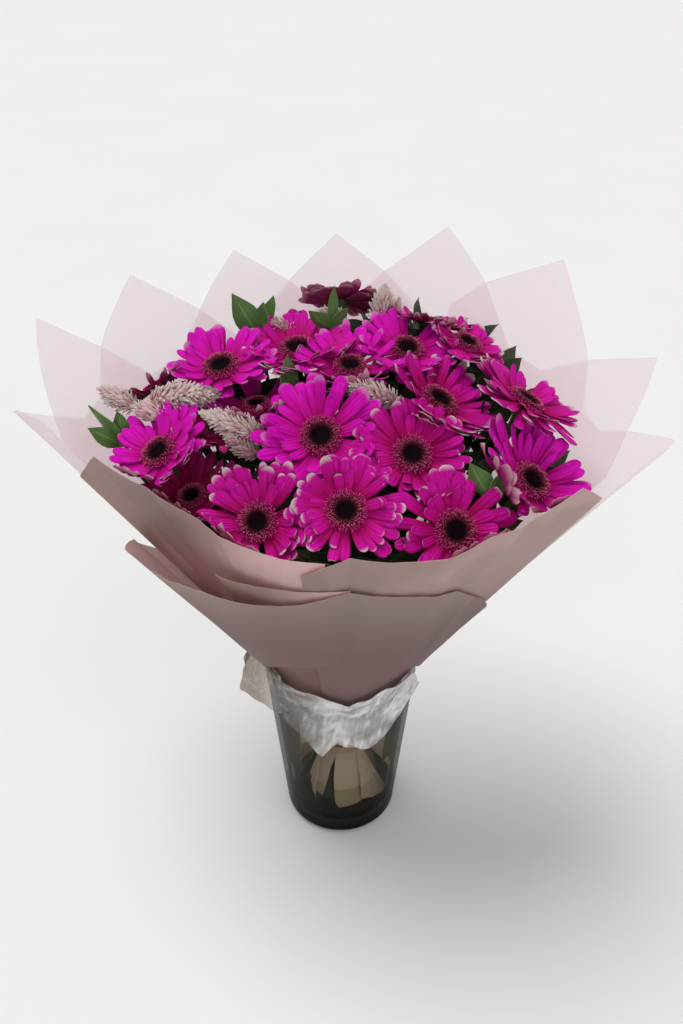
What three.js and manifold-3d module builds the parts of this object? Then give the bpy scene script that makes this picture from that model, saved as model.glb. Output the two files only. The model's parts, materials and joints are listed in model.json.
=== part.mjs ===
// Gerberas in a tapered glass vase, wrapped in pink film.
// Millimetres, +Z up. The origin is the middle of the flat underside of the vase,
// +X is to the right of the bouquet's face and -Y is its face.
import * as THREE from "three";
import { mergeVertices } from "three/addons/utils/BufferGeometryUtils.js";
import Module from "manifold-3d";

const wasm = await Module();
wasm.setup();

// ---------------------------------------------------------------- driving dimensions
const VASE_HEIGHT = 200;
const VASE_FOOT = 59;          // outer radius just above the rounded foot
const VASE_MOUTH = 77;         // outer radius at the lip
const VASE_WALL = 4.5;
const VASE_FLOOR = 14;         // thick glass floor
const FOOT_ROUND = 9;
const VASE_SIDES = 32;
const WATER_LEVEL = 46;
const CLEAR = 0.35;            // running gap between pieces that rest on each other

const TIE_HEIGHT = 95;         // middle of the binding
const TIE_WIDTH = 10;
const CORE = 19.3;             // radius of the bound stems
const CORE_LENGTH = 40;        // they are pressed together over this length
const WAIST = 20.1;            // middle of the innermost film at the binding
const MOUTH_Z = 202;           // where the film leaves the vase
const MOUTH_R = 62;            // middle of the innermost film there
const SPREAD_Z = 440;          // height at which the spread of the film is given
const FILM = 0.8;              // film thickness
const CLEAR_WRAP = 0.7;        // thickness of the clear wrap
const PETAL = 0.9;             // petal thickness
const LEAF = 0.9;              // leaf thickness
const HUB = 10;                // radius of the solid middle of a flower head
const HEAD = 48;               // length of a middling petal from the middle of its head
const FLAT = 19;               // petals lie flat out to here, under the disc
const DISC = 17.5;             // radius of the ring of small florets
const STEM = 2.6;              // flower stem radius
const THIN_STEM = 1.9;         // stem radius of a leaf spray or a feathery sprig
const CALYX = 8.5;             // radius of the green cup behind a middling head
const NECK_R = 47;             // wide stems run in through the mouth at this radius
const NECK_Z = 214;

// ---------------------------------------------------------------- small helpers
const rad = THREE.MathUtils.degToRad;
const vec = (x, y, z) => new THREE.Vector3(x, y, z);
const clamp = THREE.MathUtils.clamp;
const lerp = THREE.MathUtils.lerp;

function chance(seed) {
  let state = (seed * 7919 + 104729) % 233280;
  return () => {
    state = (state * 9301 + 49297) % 233280;
    return state / 233280;
  };
}

// value of a drawn line given as [at, value] pairs
function curve(pairs, at) {
  if (at <= pairs[0][0]) return pairs[0][1];
  for (let i = 1; i < pairs.length; i++) {
    if (at <= pairs[i][0]) {
      const [a, va] = pairs[i - 1];
      const [b, vb] = pairs[i];
      return lerp(va, vb, (at - a) / (b - a));
    }
  }
  return pairs[pairs.length - 1][1];
}

function toManifold(positions, triangles) {
  return new wasm.Manifold(new wasm.Mesh({
    numProp: 3,
    vertProperties: Float32Array.from(positions),
    triVerts: Uint32Array.from(triangles),
  }));
}

function fromGeometry(geometry) {
  const plain = geometry.clone();
  plain.deleteAttribute("normal");
  plain.deleteAttribute("uv");
  const merged = mergeVertices(plain, 1e-4);
  return toManifold(merged.attributes.position.array, merged.index.array);
}

function toGeometry(solid) {
  const mesh = solid.getMesh();
  const geometry = new THREE.BufferGeometry();
  const places = Float32Array.from(mesh.vertProperties);
  geometry.setAttribute("position", new THREE.BufferAttribute(places, 3));
  geometry.setIndex(Array.from(mesh.triVerts));
  geometry.computeVertexNormals();
  return geometry;
}

// a direction that leans from upright by an angle, towards a turn
function leaning(angle, turn) {
  const out = Math.sin(rad(angle));
  return vec(out * Math.cos(rad(turn)), out * Math.sin(rad(turn)), Math.cos(rad(angle)));
}

function join(solids) {
  return solids.slice(1).reduce((whole, next) => whole.add(next), solids[0]);
}

// ---------------------------------------------------------------- the spread of the film
// Seen from above, the film is a fan: wide at the two sides, round behind and drawn
// straight across the front. Turns are in degrees from +X; the face is at 270.
const FACE_SPREAD = [
  [178, 248], [184, 200], [195, 165], [213, 141], [239, 142], [257, 139], [273, 134],
  [287, 146], [302, 158], [315, 160], [327, 173], [336, 190], [346, 222], [352, 247],
];
function spread(turn) {
  const t = ((turn % 360) + 368) % 360 - 8;
  if (t > 178) return curve(FACE_SPREAD, t);
  const c = Math.cos(rad(t)) ** 2;
  return 72 + 238 * (0.74 * c + 0.47 * (1 - c));
}
// radius of the innermost film at a turn and height, above the binding
function film(turn, z) {
  if (z >= MOUTH_Z) return MOUTH_R + (spread(turn) - MOUTH_R) * (z - MOUTH_Z) / (SPREAD_Z - MOUTH_Z);
  return lerp(WAIST, MOUTH_R, clamp((z - TIE_HEIGHT - 9) / (MOUTH_Z - TIE_HEIGHT - 9), 0, 1));
}
// each further layer of film lies a little outside the one before it
function layerStep(z) {
  if (z >= MOUTH_Z) return lerp(1.5, 2.6, clamp((z - MOUTH_Z) / 50, 0, 1));
  return lerp(1.15, 1.5, clamp((z - TIE_HEIGHT) / (MOUTH_Z - TIE_HEIGHT), 0, 1));
}

// ---------------------------------------------------------------- what stands in the wrap
// heads: name, across, back, up, petal length, lean of the face, turn it leans to
const HEADS = [
  ["front_middle", 4, -92, 453, 46, 49, -86],
  ["front_left", -68, -86, 437, 46, 49, -106],
  ["front_right", 95, -90, 431, 51, 48, -74],
  ["centre_left", -17, -15, 477, 54, 40, -95],
  ["centre_right", 61, -32, 469, 46, 41, -81],
  ["centre_back", 87, 30, 486, 49, 28, -18],
  ["right_back", 162, 15, 494, 48, 30, 11],
  ["right_front", 161, -50, 453, 49, 35, -38],
  ["left_back", -158, -12, 458, 46, 32, -139],
  ["left_front", -130, -31, 424, 37, 24, -124],
  ["back_far_left", -110, 75, 497, 48, 17, -121],
  ["back_left", -40, 95, 505, 50, 8, -113],
  ["back_middle", 9, 65, 502, 42, 12, -90],
  ["back_right", 62, 95, 505, 44, 18, -72],
  ["back_far_right", 118, 105, 506, 40, 21, -16],
  ["rear_middle", 1, 178, 517, 42, 49, 86],
  ["rear_right", 83, 150, 508, 34, 27, 63],
  ["low_left", -112, 20, 461, 32, 8, -135],
  ["low_middle", -76, 42, 474, 36, 6, 180],
  ["rear_left", -174, 80, 472, 32, 40, 141],
];
// heads whose disc is hidden are one piece with their petals
const NO_DISC = ["rear_middle", "rear_right", "low_left", "low_middle", "rear_left"];
// the nearest heads show their second, shorter ring of petals
const TWO_RINGS = ["front_middle", "front_left", "front_right", "centre_left", "centre_right",
  "centre_back", "right_back", "right_front"];

// leaf sprays: name, foot of the spray, then each leaf as length, width, lean, turn
const SPRAYS = [
  ["left", -195, 20, 446, [[50, 17, 32, 168], [40, 15, 52, 195], [36, 14, 12, 120]]],
  ["back_left", -75, 125, 499, [[56, 22, 29, 169], [42, 20, 8, 270], [46, 18, 16, 20]]],
  ["back", -10, 125, 513, [[46, 9, 10, 25], [32, 15, 42, 200], [28, 11, 40, 350]]],
  ["middle", -46, 45, 473, [[52, 17, 4, 60], [30, 12, 40, 330]]],
  ["right", 127, -68, 446, [[40, 18, 32, 158], [30, 18, 30, 20]]],
];
// feathery spikes: name, foot of the sprig, then each spike as its two ends and its radius
const SPIKES = [
  ["left", -165, 34, 466, [
    [-171, 36, 484, -100, 30, 499, 11.5], [-186, 42, 474, -221, 49, 490, 9],
    [-156, 24, 474, -186, 26, 484, 10]]],
  ["middle_left", -62, -8, 452, [[-68, -3, 470, -125, 2, 493, 10.5], [-72, -14, 456, -103, -8, 477, 8]]],
  ["middle", 52, 16, 478, [[50, 18, 492, -2, 30, 509, 10]]],
  ["back_middle", 4, 140, 500, [[4, 140, 516, -23, 140, 525, 7.5]]],
  ["back_left", -44, 132, 490, [[-45, 130, 507, -68, 122, 524, 7.5]]],
  ["back_right", 40, 140, 495, [[38, 140, 509, 43, 152, 547, 10], [50, 142, 508, 57, 150, 536, 6.5]]],
];

// Every head, spray and sprig is an item. Each keeps to its own side of the plane
// between it and each neighbour, so that crowded petals bend instead of crossing.
function item(kind, name, spots) {
  return { kind, name, spots, walls: [] };
}
const ITEMS = [];
for (const [name, x, y, z, size, lean, toward] of HEADS) {
  const it = item("head", name, [{ at: vec(x, y, z), size: size * 0.8 }]);
  const facing = leaning(lean, toward);
  const side = vec(-Math.sin(rad(toward)), Math.cos(rad(toward)), 0);
  Object.assign(it, { centre: vec(x, y, z), size, facing, side, other: facing.clone().cross(side) });
  ITEMS.push(it);
}
for (const [name, x, y, z, leaves] of SPRAYS) {
  const foot = vec(x, y, z);
  const spots = [{ at: foot.clone().add(vec(0, 0, 6)), size: 8 }];
  for (const [length, width, angle, turn] of leaves) {
    spots.push({ at: foot.clone().addScaledVector(leaning(angle, turn), length * 0.5), size: width * 0.45 });
  }
  ITEMS.push(Object.assign(item("spray", name, spots), { centre: foot, leaves }));
}
for (const [name, x, y, z, spikes] of SPIKES) {
  const spots = [{ at: vec(x, y, z + 8), size: 8 }];
  for (const [ax, ay, az, bx, by, bz, r] of spikes) {
    for (const f of [0.1, 0.4, 0.7, 0.95]) {
      spots.push({ at: vec(ax, ay, az).lerp(vec(bx, by, bz), f), size: r * (f < 0.8 ? 1.15 : 0.7) });
    }
  }
  ITEMS.push(Object.assign(item("sprig", name, spots), { centre: vec(x, y, z), spikes }));
}
for (const a of ITEMS) {
  for (const b of ITEMS) {
    if (a === b) continue;
    let best = null;
    for (const p of a.spots) {
      for (const q of b.spots) {
        const gap = p.at.distanceTo(q.at) - p.size - q.size;
        if (best === null || gap < best.gap) best = { gap, p, q };
      }
    }
    const { p, q } = best;
    const away = q.at.clone().sub(p.at);
    const far = away.length();
    if (far > 140) continue;
    away.normalize();
    a.walls.push({ away, reach: away.dot(p.at) + far * p.size / (p.size + q.size) });
    if (a.kind !== "head" || b.kind !== "head") continue;
    for (const [down, thick] of [[9, 11], [26, 5.5], [46, 5]]) {
      const at = b.centre.clone().addScaledVector(b.facing, -Math.min(down, 26));
      if (down > 26) at.add(vec(-b.centre.x * 0.05, -b.centre.y * 0.05, 26 - down));
      const way = at.clone().sub(a.centre);
      const gap = way.length() - thick;
      if (gap < a.size + 4) a.walls.push({ away: way.normalize(), reach: way.dot(a.centre) + gap });
    }
  }
}

// the wall of film around everything, as a plane near a point
function filmWall(p, margin) {
  const turn = THREE.MathUtils.radToDeg(Math.atan2(p.y, p.x));
  const slope = (spread(turn) - MOUTH_R) / (SPREAD_Z - MOUTH_Z);
  const r = Math.hypot(p.x, p.y);
  const away = vec(Math.cos(rad(turn)), Math.sin(rad(turn)), -slope);
  const long = away.length();
  away.normalize();
  return { away, over: (r - (film(turn, p.z) - margin)) / long };
}
// every wall that a point is past, with how far past it is
function past(it, p, margin) {
  const found = [];
  for (const w of it.walls) {
    const over = w.away.dot(p) - (w.reach - margin);
    if (over > 0) found.push({ away: w.away, over });
  }
  const f = filmWall(p, margin + 1);
  if (f.over > 0) found.push(f);
  return found;
}
// A point walks out from its root. Where it meets a wall it turns along it, and where
// it meets one head on it is lifted. The guide says which way is up and may steer it.
function walk(it, from, heading, steps, step, guide, margin) {
  const p = from.clone();
  const way = heading.clone();
  let slow = 1;
  for (let i = 0; i < steps; i++) {
    if (guide.steer) guide.steer(way, i);
    const dir = way.clone();
    const ahead = p.clone().addScaledVector(dir, step * slow);
    for (const w of past(it, ahead, margin)) {
      const along = dir.dot(w.away);
      if (along > 0) dir.addScaledVector(w.away, -along);
      if (dir.length() < 0.35) {
        const lift = guide.lift.clone().addScaledVector(w.away, -guide.lift.dot(w.away));
        dir.addScaledVector(lift.normalize(), 0.6);
      }
      dir.normalize();
      slow = 0.62;
    }
    p.addScaledVector(dir, step * slow);
    for (let k = 0; k < 3; k++) {
      for (const w of past(it, p, margin)) p.addScaledVector(w.away, -w.over * 0.97);
    }
  }
  return p;
}

// ---------------------------------------------------------------- thick skins
// Makes a closed blade from a list of points in its middle surface and its triangles.
// Both faces are split alike, and the rim is closed with a narrow strip.
function blade(points, triangles, thickness) {
  const normals = points.map(() => vec(0, 0, 0));
  const edges = new Map();
  for (const [a, b, c] of triangles) {
    const n = points[b].clone().sub(points[a]).cross(points[c].clone().sub(points[a]));
    for (const v of [a, b, c]) normals[v].add(n.clone().normalize());
    for (const [p, q] of [[a, b], [b, c], [c, a]]) edges.set(p + "," + q, [p, q]);
  }
  const positions = [];
  for (const side of [0.5, -0.5]) {
    points.forEach((p, i) => {
      const n = normals[i].clone().normalize();
      const q = p.clone().addScaledVector(n, thickness * side);
      positions.push(q.x, q.y, q.z);
    });
  }
  const count = points.length;
  const faces = [];
  for (const [a, b, c] of triangles) {
    faces.push(a, b, c, a + count, c + count, b + count);
  }
  for (const [p, q] of edges.values()) {
    if (!edges.has(q + "," + p)) faces.push(p, p + count, q, q, p + count, q + count);
  }
  return toManifold(positions, faces);
}

// ---------------------------------------------------------------- flower heads
// One ring of petals as a single toothed blade round the hub.
function petalRing(it, count, long, rise, blunt, seed, raise, margin) {
  const random = chance(seed);
  const points = [];
  const triangles = [];
  const add = (turn, reach, angle) => {
    const out = it.side.clone().multiplyScalar(Math.cos(turn)).addScaledVector(it.other, Math.sin(turn));
    const root = it.centre.clone().addScaledVector(it.facing, raise);
    root.addScaledVector(out, Math.min(reach, HUB));
    if (reach > HUB) {
      const steps = Math.max(1, Math.round((reach - HUB) / 2.5));
      const step = (reach - HUB) / steps;
      const guide = {
        lift: it.facing,
        steer: (way, i) => {
          const at = HUB + (i + 0.5) * step;
          const climb = angle * clamp((at - 12) / 14, 0, 1.15);
          const slope = rad(at < FLAT * it.size / HEAD ? raise * 0.5 : climb);
          way.copy(out).multiplyScalar(Math.cos(slope)).addScaledVector(it.facing, Math.sin(slope));
        },
      };
      points.push(walk(it, root, out, steps, step, guide, margin));
    } else {
      points.push(root);
    }
    return points.length - 1;
  };
  const centre = add(0, 0, 0);
  const spacing = 2 * Math.PI / count;
  const first = random() * spacing;
  const valleys = [];
  for (let i = 0; i < count; i++) {
    const turn = first + i * spacing + (random() - 0.5) * 0.12 * spacing;
    valleys.push({ turn, hub: add(turn, HUB, rise), end: add(turn, long * 0.5, rise - 2) });
  }
  for (let i = 0; i < count; i++) {
    const a = valleys[i];
    const b = valleys[(i + 1) % count];
    let next = b.turn;
    if (i === count - 1) next += 2 * Math.PI;
    const mid = (a.turn + next) / 2;
    const half = (next - a.turn) / 2;
    const length = long * (0.9 + 0.14 * random());
    const tilt = rise + (random() - 0.5) * 8;
    const m = add(mid, length * 0.56, tilt - 3);
    const s = [-1, 1].map((way) => add(mid + way * half * 0.86, length * 0.8, tilt));
    triangles.push([a.hub, a.end, m], [a.hub, m, b.hub], [b.hub, m, b.end]);
    triangles.push([a.end, s[0], m], [s[1], b.end, m]);
    if (blunt) {
      const k = [-1, 1].map((way) => add(mid + way * half * 0.42, length, tilt));
      triangles.push([s[0], k[0], m], [k[0], k[1], m], [k[1], s[1], m]);
    } else {
      const k = add(mid, length, tilt);
      triangles.push([s[0], k, m], [k, s[1], m]);
    }
    triangles.push([centre, a.hub, b.hub]);
  }
  return blade(points, triangles, PETAL);
}

function headSolid(it, index) {
  const count = NO_DISC.includes(it.name) ? 11 : 14;
  const outer = petalRing(it, count, it.size, 9, true, 11 + index, 0, 0.9);
  if (!TWO_RINGS.includes(it.name)) return outer;
  return outer.add(petalRing(it, 7, it.size * 0.72, 24, false, 71 + index, 0.6, 2.6));
}

// the low dome of small florets, with its dark eye
function discSolid(it) {
  const r = DISC * Math.min(it.size / HEAD, 1.02);
  const profile = [
    [0, 0], [r * 0.85, 0], [r, 2.4], [r * 0.76, 5.2], [r * 0.4, 4.2], [0, 3.4],
  ].map(([x, y]) => new THREE.Vector2(x, y));
  const geometry = new THREE.LatheGeometry(profile, 8);
  geometry.rotateX(Math.PI / 2);
  const frame = new THREE.Matrix4().makeBasis(it.side, it.other, it.facing);
  const seat = TWO_RINGS.includes(it.name) ? 0.85 : 0.55;
  frame.setPosition(it.centre.clone().addScaledVector(it.facing, seat + PETAL / 2 + CLEAR));
  geometry.applyMatrix4(frame);
  return fromGeometry(geometry);
}

// ---------------------------------------------------------------- leaves
function leafBlade(it, length, width, angle, turn, seed) {
  const random = chance(seed);
  const heading = leaning(angle, turn);
  let across = vec(-Math.sin(rad(turn)), Math.cos(rad(turn)), 0);
  across.applyAxisAngle(heading, rad(-90 + 60 * (random() - 0.5)));
  if (Math.abs(across.y) > 0.8) across.applyAxisAngle(heading, rad(55));
  const back = across.clone().cross(heading).normalize();
  const points = [];
  const triangles = [];
  const stations = [[0, 0.1], [0.2, 0.62], [0.42, 1], [0.66, 0.86], [0.86, 0.42], [1, 0.04]];
  stations.forEach(([f, w]) => {
    for (const side of [-1, 0, 1]) {
      const curl = back.clone().multiplyScalar((side === 0 ? -0.1 : 0) * width * w - 0.1 * length * f * f);
      const start = it.centre.clone().addScaledVector(heading, -1);
      const offset = across.clone().multiplyScalar(side * w * width / 2).add(curl);
      const steps = 10;
      const aim = heading.clone().multiplyScalar(length * f + 1).add(offset);
      const step = aim.length() / steps;
      points.push(walk(it, start, aim.normalize(), steps, step, { lift: vec(0, 0, 1) }, 1.0));
    }
  });
  for (let i = 0; i + 1 < stations.length; i++) {
    for (const s of [0, 1]) {
      const a = i * 3 + s;
      triangles.push([a, a + 1, a + 3], [a + 1, a + 4, a + 3]);
    }
  }
  return blade(points, triangles, LEAF);
}

// a round rod along a list of points, with a radius at each
function rod(points, radii, sides) {
  const positions = [];
  const faces = [];
  points.forEach((p, i) => {
    const before = points[Math.max(0, i - 1)];
    const after = points[Math.min(points.length - 1, i + 1)];
    const along = after.clone().sub(before).normalize();
    const side = vec(0, 1, 0).cross(along);
    if (side.length() < 0.2) side.copy(vec(1, 0, 0).cross(along));
    side.normalize();
    const other = along.clone().cross(side);
    for (let k = 0; k < sides; k++) {
      const turn = 2 * Math.PI * k / sides;
      const q = p.clone().addScaledVector(side, radii[i] * Math.cos(turn));
      q.addScaledVector(other, radii[i] * Math.sin(turn));
      positions.push(q.x, q.y, q.z);
    }
  });
  for (let i = 0; i + 1 < points.length; i++) {
    for (let k = 0; k < sides; k++) {
      const a = i * sides + k;
      const b = i * sides + (k + 1) % sides;
      faces.push(a, b, a + sides, b, b + sides, a + sides);
    }
  }
  for (let k = 1; k + 1 < sides; k++) {
    faces.push(0, k + 1, k);
    const top = (points.length - 1) * sides;
    faces.push(top, top + k, top + k + 1);
  }
  return toManifold(positions, faces);
}

function spraySolid(it, index) {
  const foot = it.centre;
  const solids = [rod([foot.clone().add(vec(0, 0, -5)), foot.clone().add(vec(0, 0, 5))], [2.2, 1.6], 6)];
  it.leaves.forEach(([length, width, angle, turn], i) => {
    solids.push(leafBlade(it, length, width, angle, turn, 31 + index * 5 + i));
  });
  return join(solids);
}

// ---------------------------------------------------------------- feathery spikes
function spikeSolid(it, [ax, ay, az, bx, by, bz, radius]) {
  const from = vec(ax, ay, az);
  const to = vec(bx, by, bz);
  const along = to.clone().sub(from).normalize();
  const side = vec(0, 0, 1).cross(along);
  if (side.length() < 0.3) side.copy(vec(0, 1, 0).cross(along));
  side.normalize();
  const other = along.clone().cross(side);
  const rings = [[0, 0.35], [0.12, 0.8], [0.28, 1], [0.45, 0.95], [0.62, 0.78], [0.78, 0.55], [0.9, 0.34]];
  const sides = 7;
  const positions = [];
  const faces = [];
  const put = (p) => {
    for (let k = 0; k < 3; k++) {
      for (const w of past(it, p, 0.6)) p.addScaledVector(w.away, -w.over * 0.97);
    }
    positions.push(p.x, p.y, p.z);
  };
  rings.forEach(([f, w], i) => {
    for (let k = 0; k < sides; k++) {
      const turn = 2 * Math.PI * (k + 0.5 * (i % 2)) / sides;
      const r = radius * w * (1 + 0.09 * (i % 2 === 0 ? 1 : -1));
      const p = from.clone().lerp(to, f).addScaledVector(side, r * Math.cos(turn));
      put(p.addScaledVector(other, r * Math.sin(turn)));
    }
  });
  put(from.clone().addScaledVector(along, -radius * 0.25));
  put(to.clone());
  const foot = rings.length * sides;
  for (let i = 0; i + 1 < rings.length; i++) {
    for (let k = 0; k < sides; k++) {
      const a = i * sides + k;
      const b = i * sides + (k + 1) % sides;
      const a2 = a + sides;
      const b2 = b + sides;
      if (i % 2 === 0) faces.push(a, b, a2, b, b2, a2);
      else faces.push(a, b2, a2, a, b, b2);
    }
  }
  for (let k = 0; k < sides; k++) {
    const last = (rings.length - 1) * sides;
    faces.push(foot, (k + 1) % sides, k, foot + 1, last + k, last + (k + 1) % sides);
  }
  return toManifold(positions, faces);
}

function sprigSolid(it) {
  const foot = it.centre;
  const solids = [];
  for (const spike of it.spikes) {
    const root = vec(spike[0], spike[1], spike[2]);
    const tip = vec(spike[3], spike[4], spike[5]);
    const stalk = [foot.clone().add(vec(0, 0, -4)), foot.clone().add(vec(0, 0, 3)), root.lerp(tip, 0.12)];
    solids.push(rod(stalk, [2.2, 2.2, 1.8], 6));
    solids.push(spikeSolid(it, spike));
  }
  return join(solids);
}

// ---------------------------------------------------------------- stems
// Each stem leaves its head against the way the head faces, bends to the binding and
// passes through it. Every second one goes on to the floor of the vase, spreading
// again, and the others are cut off just under the binding.
function stemLines(extra) {
  const lines = [];
  ITEMS.forEach((it, i) => {
    const neat = Math.atan2(it.centre.y, it.centre.x);
    const wide = Math.hypot(it.centre.x, it.centre.y);
    const r = (CORE - 4) * clamp(wide / 190, 0.1, 1);
    const thick = (it.kind === "head" ? STEM : THIN_STEM) + extra;
    const top = it.centre.clone();
    const points = [];
    const radii = [];
    if (it.kind === "head") {
      top.addScaledVector(it.facing, -PETAL / 2 - CLEAR);
      const cup = CALYX * it.size / HEAD;
      const below = (depth) => top.clone().addScaledVector(it.facing, -depth);
      points.push(top.clone(), below(4), below(11), below(24).add(vec(0, 0, -4)));
      radii.push(cup, cup * 0.86, thick + 0.9, thick);
    } else {
      const drop = it.kind === "spray" ? -5 : -4;
      points.push(top.clone().add(vec(0, 0, drop - CLEAR)));
      radii.push(thick);
      points.push(top.clone().add(vec(0, 0, drop - 14)));
      radii.push(thick);
    }
    if (wide > 125) {
      points.push(vec(Math.cos(neat) * NECK_R, Math.sin(neat) * NECK_R, NECK_Z));
      radii.push(thick);
    }
    const across = neat + rad(35);
    points.push(vec(r * Math.cos(neat), r * Math.sin(neat), TIE_HEIGHT + 16));
    radii.push(thick);
    points.push(vec(r * Math.cos(across), r * Math.sin(across), TIE_HEIGHT - 16));
    radii.push(thick);
    const spreadOut = 12 + 24 * clamp(wide / 190, 0, 1);
    const low = VASE_FLOOR + 1.9 + (i % 3) * 2.5;
    const end = vec(Math.cos(across + 1.1) * spreadOut, Math.sin(across + 1.1) * spreadOut, low);
    if (extra > 0) end.add(end.clone().sub(points[points.length - 1]).multiplyScalar(0.15));
    points.push(end);
    radii.push(thick);
    if (i % 2 === 0) lines.push({ points, radii, whole: true });
    else lines.push({ points: points.slice(0, -1), radii: radii.slice(0, -1), whole: false });
  });
  return lines;
}
function stemRod(line) {
  return rod(line.points, line.radii, 4);
}
function stemBunch() {
  const core = new THREE.CylinderGeometry(CORE, CORE, CORE_LENGTH, 18);
  core.rotateX(Math.PI / 2);
  core.translate(0, 0, TIE_HEIGHT);
  return join([fromGeometry(core), ...stemLines(0).map(stemRod)]);
}

// ---------------------------------------------------------------- film sheets
// A sheet runs between two turns. Its top and bottom edges are drawn as [turn, height]
// pairs. Levels up to 1 are shares of the way from its bottom to its top, larger ones are
// heights, and the tail is its drawn lower end inside the vase.
// how far the collar stands out from the film behind it, by turn
const STAND_OFF = [
  [165, 2], [178, 8], [191, 50], [195, 50], [210, 40], [222, 25], [247, 5], [270, 0], [352, 0],
];
function filmPoint(sheet, turn, z) {
  let r;
  if (z >= TIE_HEIGHT) {
    r = film(turn, z) + sheet.layer * layerStep(z);
    if (sheet.standOff) r += sheet.standOff(turn, z);
  } else {
    r = WAIST + sheet.layer * layerStep(z) + (sheet.flare ?? 0) * Math.max(0, TIE_HEIGHT - 9 - z);
  }
  return vec(r * Math.cos(rad(turn)), r * Math.sin(rad(turn)), z);
}
function sheetSolid(sheet, thickness = FILM) {
  const points = [];
  const triangles = [];
  const turns = sheet.turns;
  const levels = sheet.levels;
  turns.forEach((turn) => {
    const top = curve(sheet.top, turn);
    const bottom = typeof sheet.bottom === "number" ? sheet.bottom : curve(sheet.bottom, turn);
    levels.forEach((level) => {
      let z = level > 1 ? level : lerp(bottom, top, level);
      if (level === "tail") z = curve(sheet.tail, turn);
      points.push(filmPoint(sheet, turn, z));
    });
  });
  const rows = levels.length;
  for (let i = 0; i + 1 < turns.length; i++) {
    for (let j = 0; j + 1 < rows; j++) {
      const a = i * rows + j;
      const b = a + rows;
      triangles.push([a, b, a + 1], [b, b + 1, a + 1]);
    }
  }
  return blade(points, triangles, thickness);
}
const FAN_LEVELS = [86, 104, MOUTH_Z, 0.3, 0.65, 1];
const SHEETS = {
  film_back_left_outer: {
    layer: 1, bottom: MOUTH_Z, levels: FAN_LEVELS,
    turns: [118, 126, 132, 137, 142, 150, 156, 164, 171, 176, 181],
    top: [[118, 470], [126, 501], [137, 539], [150, 489], [157, 452], [164, 446],
      [171, 465], [179, 492], [181, 486]],
  },
  film_back_left_inner: {
    layer: 0, bottom: MOUTH_Z, levels: FAN_LEVELS,
    turns: [93, 98, 103, 109, 115, 120, 126, 135, 143, 150, 158, 165, 171, 175],
    top: [[93, 488], [103, 520], [115, 550], [126, 501], [135, 462], [143, 456],
      [150, 489], [158, 529], [171, 465], [175, 446]],
  },
  film_back_middle: {
    layer: 1, bottom: MOUTH_Z, levels: FAN_LEVELS,
    turns: [71, 79, 85, 91, 97, 103, 111],
    top: [[71, 500], [79, 528], [91, 561], [103, 520], [111, 492]],
  },
  film_back_right_inner: {
    layer: 0, bottom: MOUTH_Z, levels: FAN_LEVELS,
    turns: [-1, 6, 14, 20, 27, 35, 44, 50, 55, 60, 66, 72, 79, 88],
    top: [[-1, 428], [6, 457], [14, 509], [27, 482], [35, 462], [44, 470],
      [55, 524], [66, 570], [79, 528], [88, 500]],
  },
  film_back_right_outer: {
    layer: 1, bottom: MOUTH_Z, levels: ["tail", ...FAN_LEVELS], flare: 0.42,
    tail: [[-11, 20], [0, 17], [6, 22], [13, 48], [27, 84]],
    turns: [-11, -7, 0, 6, 13, 20, 27, 34, 42, 48, 55, 62],
    top: [[-11, 474], [-7, 486], [6, 457], [13, 440], [20, 446], [27, 482], [42, 553], [55, 524], [62, 500]],
  },
  film_front_left: {
    layer: 2, bottom: MOUTH_Z, levels: ["tail", ...FAN_LEVELS], flare: 0.3,
    tail: [[213, 84], [226, 34], [239, 32], [248, 70], [257, 84]],
    turns: [178, 181, 184, 189, 195, 204, 213, 226, 239, 248, 257, 265],
    top: [[178, 421], [181, 438], [184, 457], [195, 444], [213, 440], [239, 440], [257, 437], [265, 434]],
  },
  film_front_right: {
    layer: 3, bottom: MOUTH_Z, levels: ["tail", ...FAN_LEVELS], flare: 0.32,
    tail: [[257, 56], [265, 30], [273, 24], [287, 26], [302, 36], [315, 62], [327, 84]],
    turns: [257, 265, 273, 287, 302, 315, 321, 327, 336, 341, 346],
    top: [[257, 420], [265, 432], [273, 442], [302, 443], [315, 447], [327, 450], [336, 472], [346, 440]],
  },
  film_fold: {
    layer: 3, bottom: 300, levels: [0, 0.5, 1],
    standOff: (turn, z) => 1.7 + 11 * curve([[225, 1], [250, 0]], turn) * (z - 300) / 100,
    turns: [223, 231, 239, 249, 260, 274],
    top: [[223, 393], [239, 398], [274, 401]],
  },
  film_collar: {
    layer: 3, levels: [0, 0.5, 1],
    standOff: (turn, z) => 3.5 + curve(STAND_OFF, turn) * clamp((z - 225) / 150, 0, 1.1),
    turns: [166, 172, 178, 184, 191, 196, 203, 212, 222, 234, 247, 260, 273, 286, 296, 304, 312,
      322, 334, 345, 354],
    top: [[166, 388], [178, 374], [191, 370], [195, 372], [210, 375], [222, 378], [247, 380],
      [273, 400], [296, 396], [312, 382], [334, 335], [354, 284]],
    bottom: [[166, 226], [180, 225], [195, 235], [220, 252], [240, 275], [266, 289], [297, 291],
      [307, 270], [330, 235], [354, 216]],
  },
};

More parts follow.
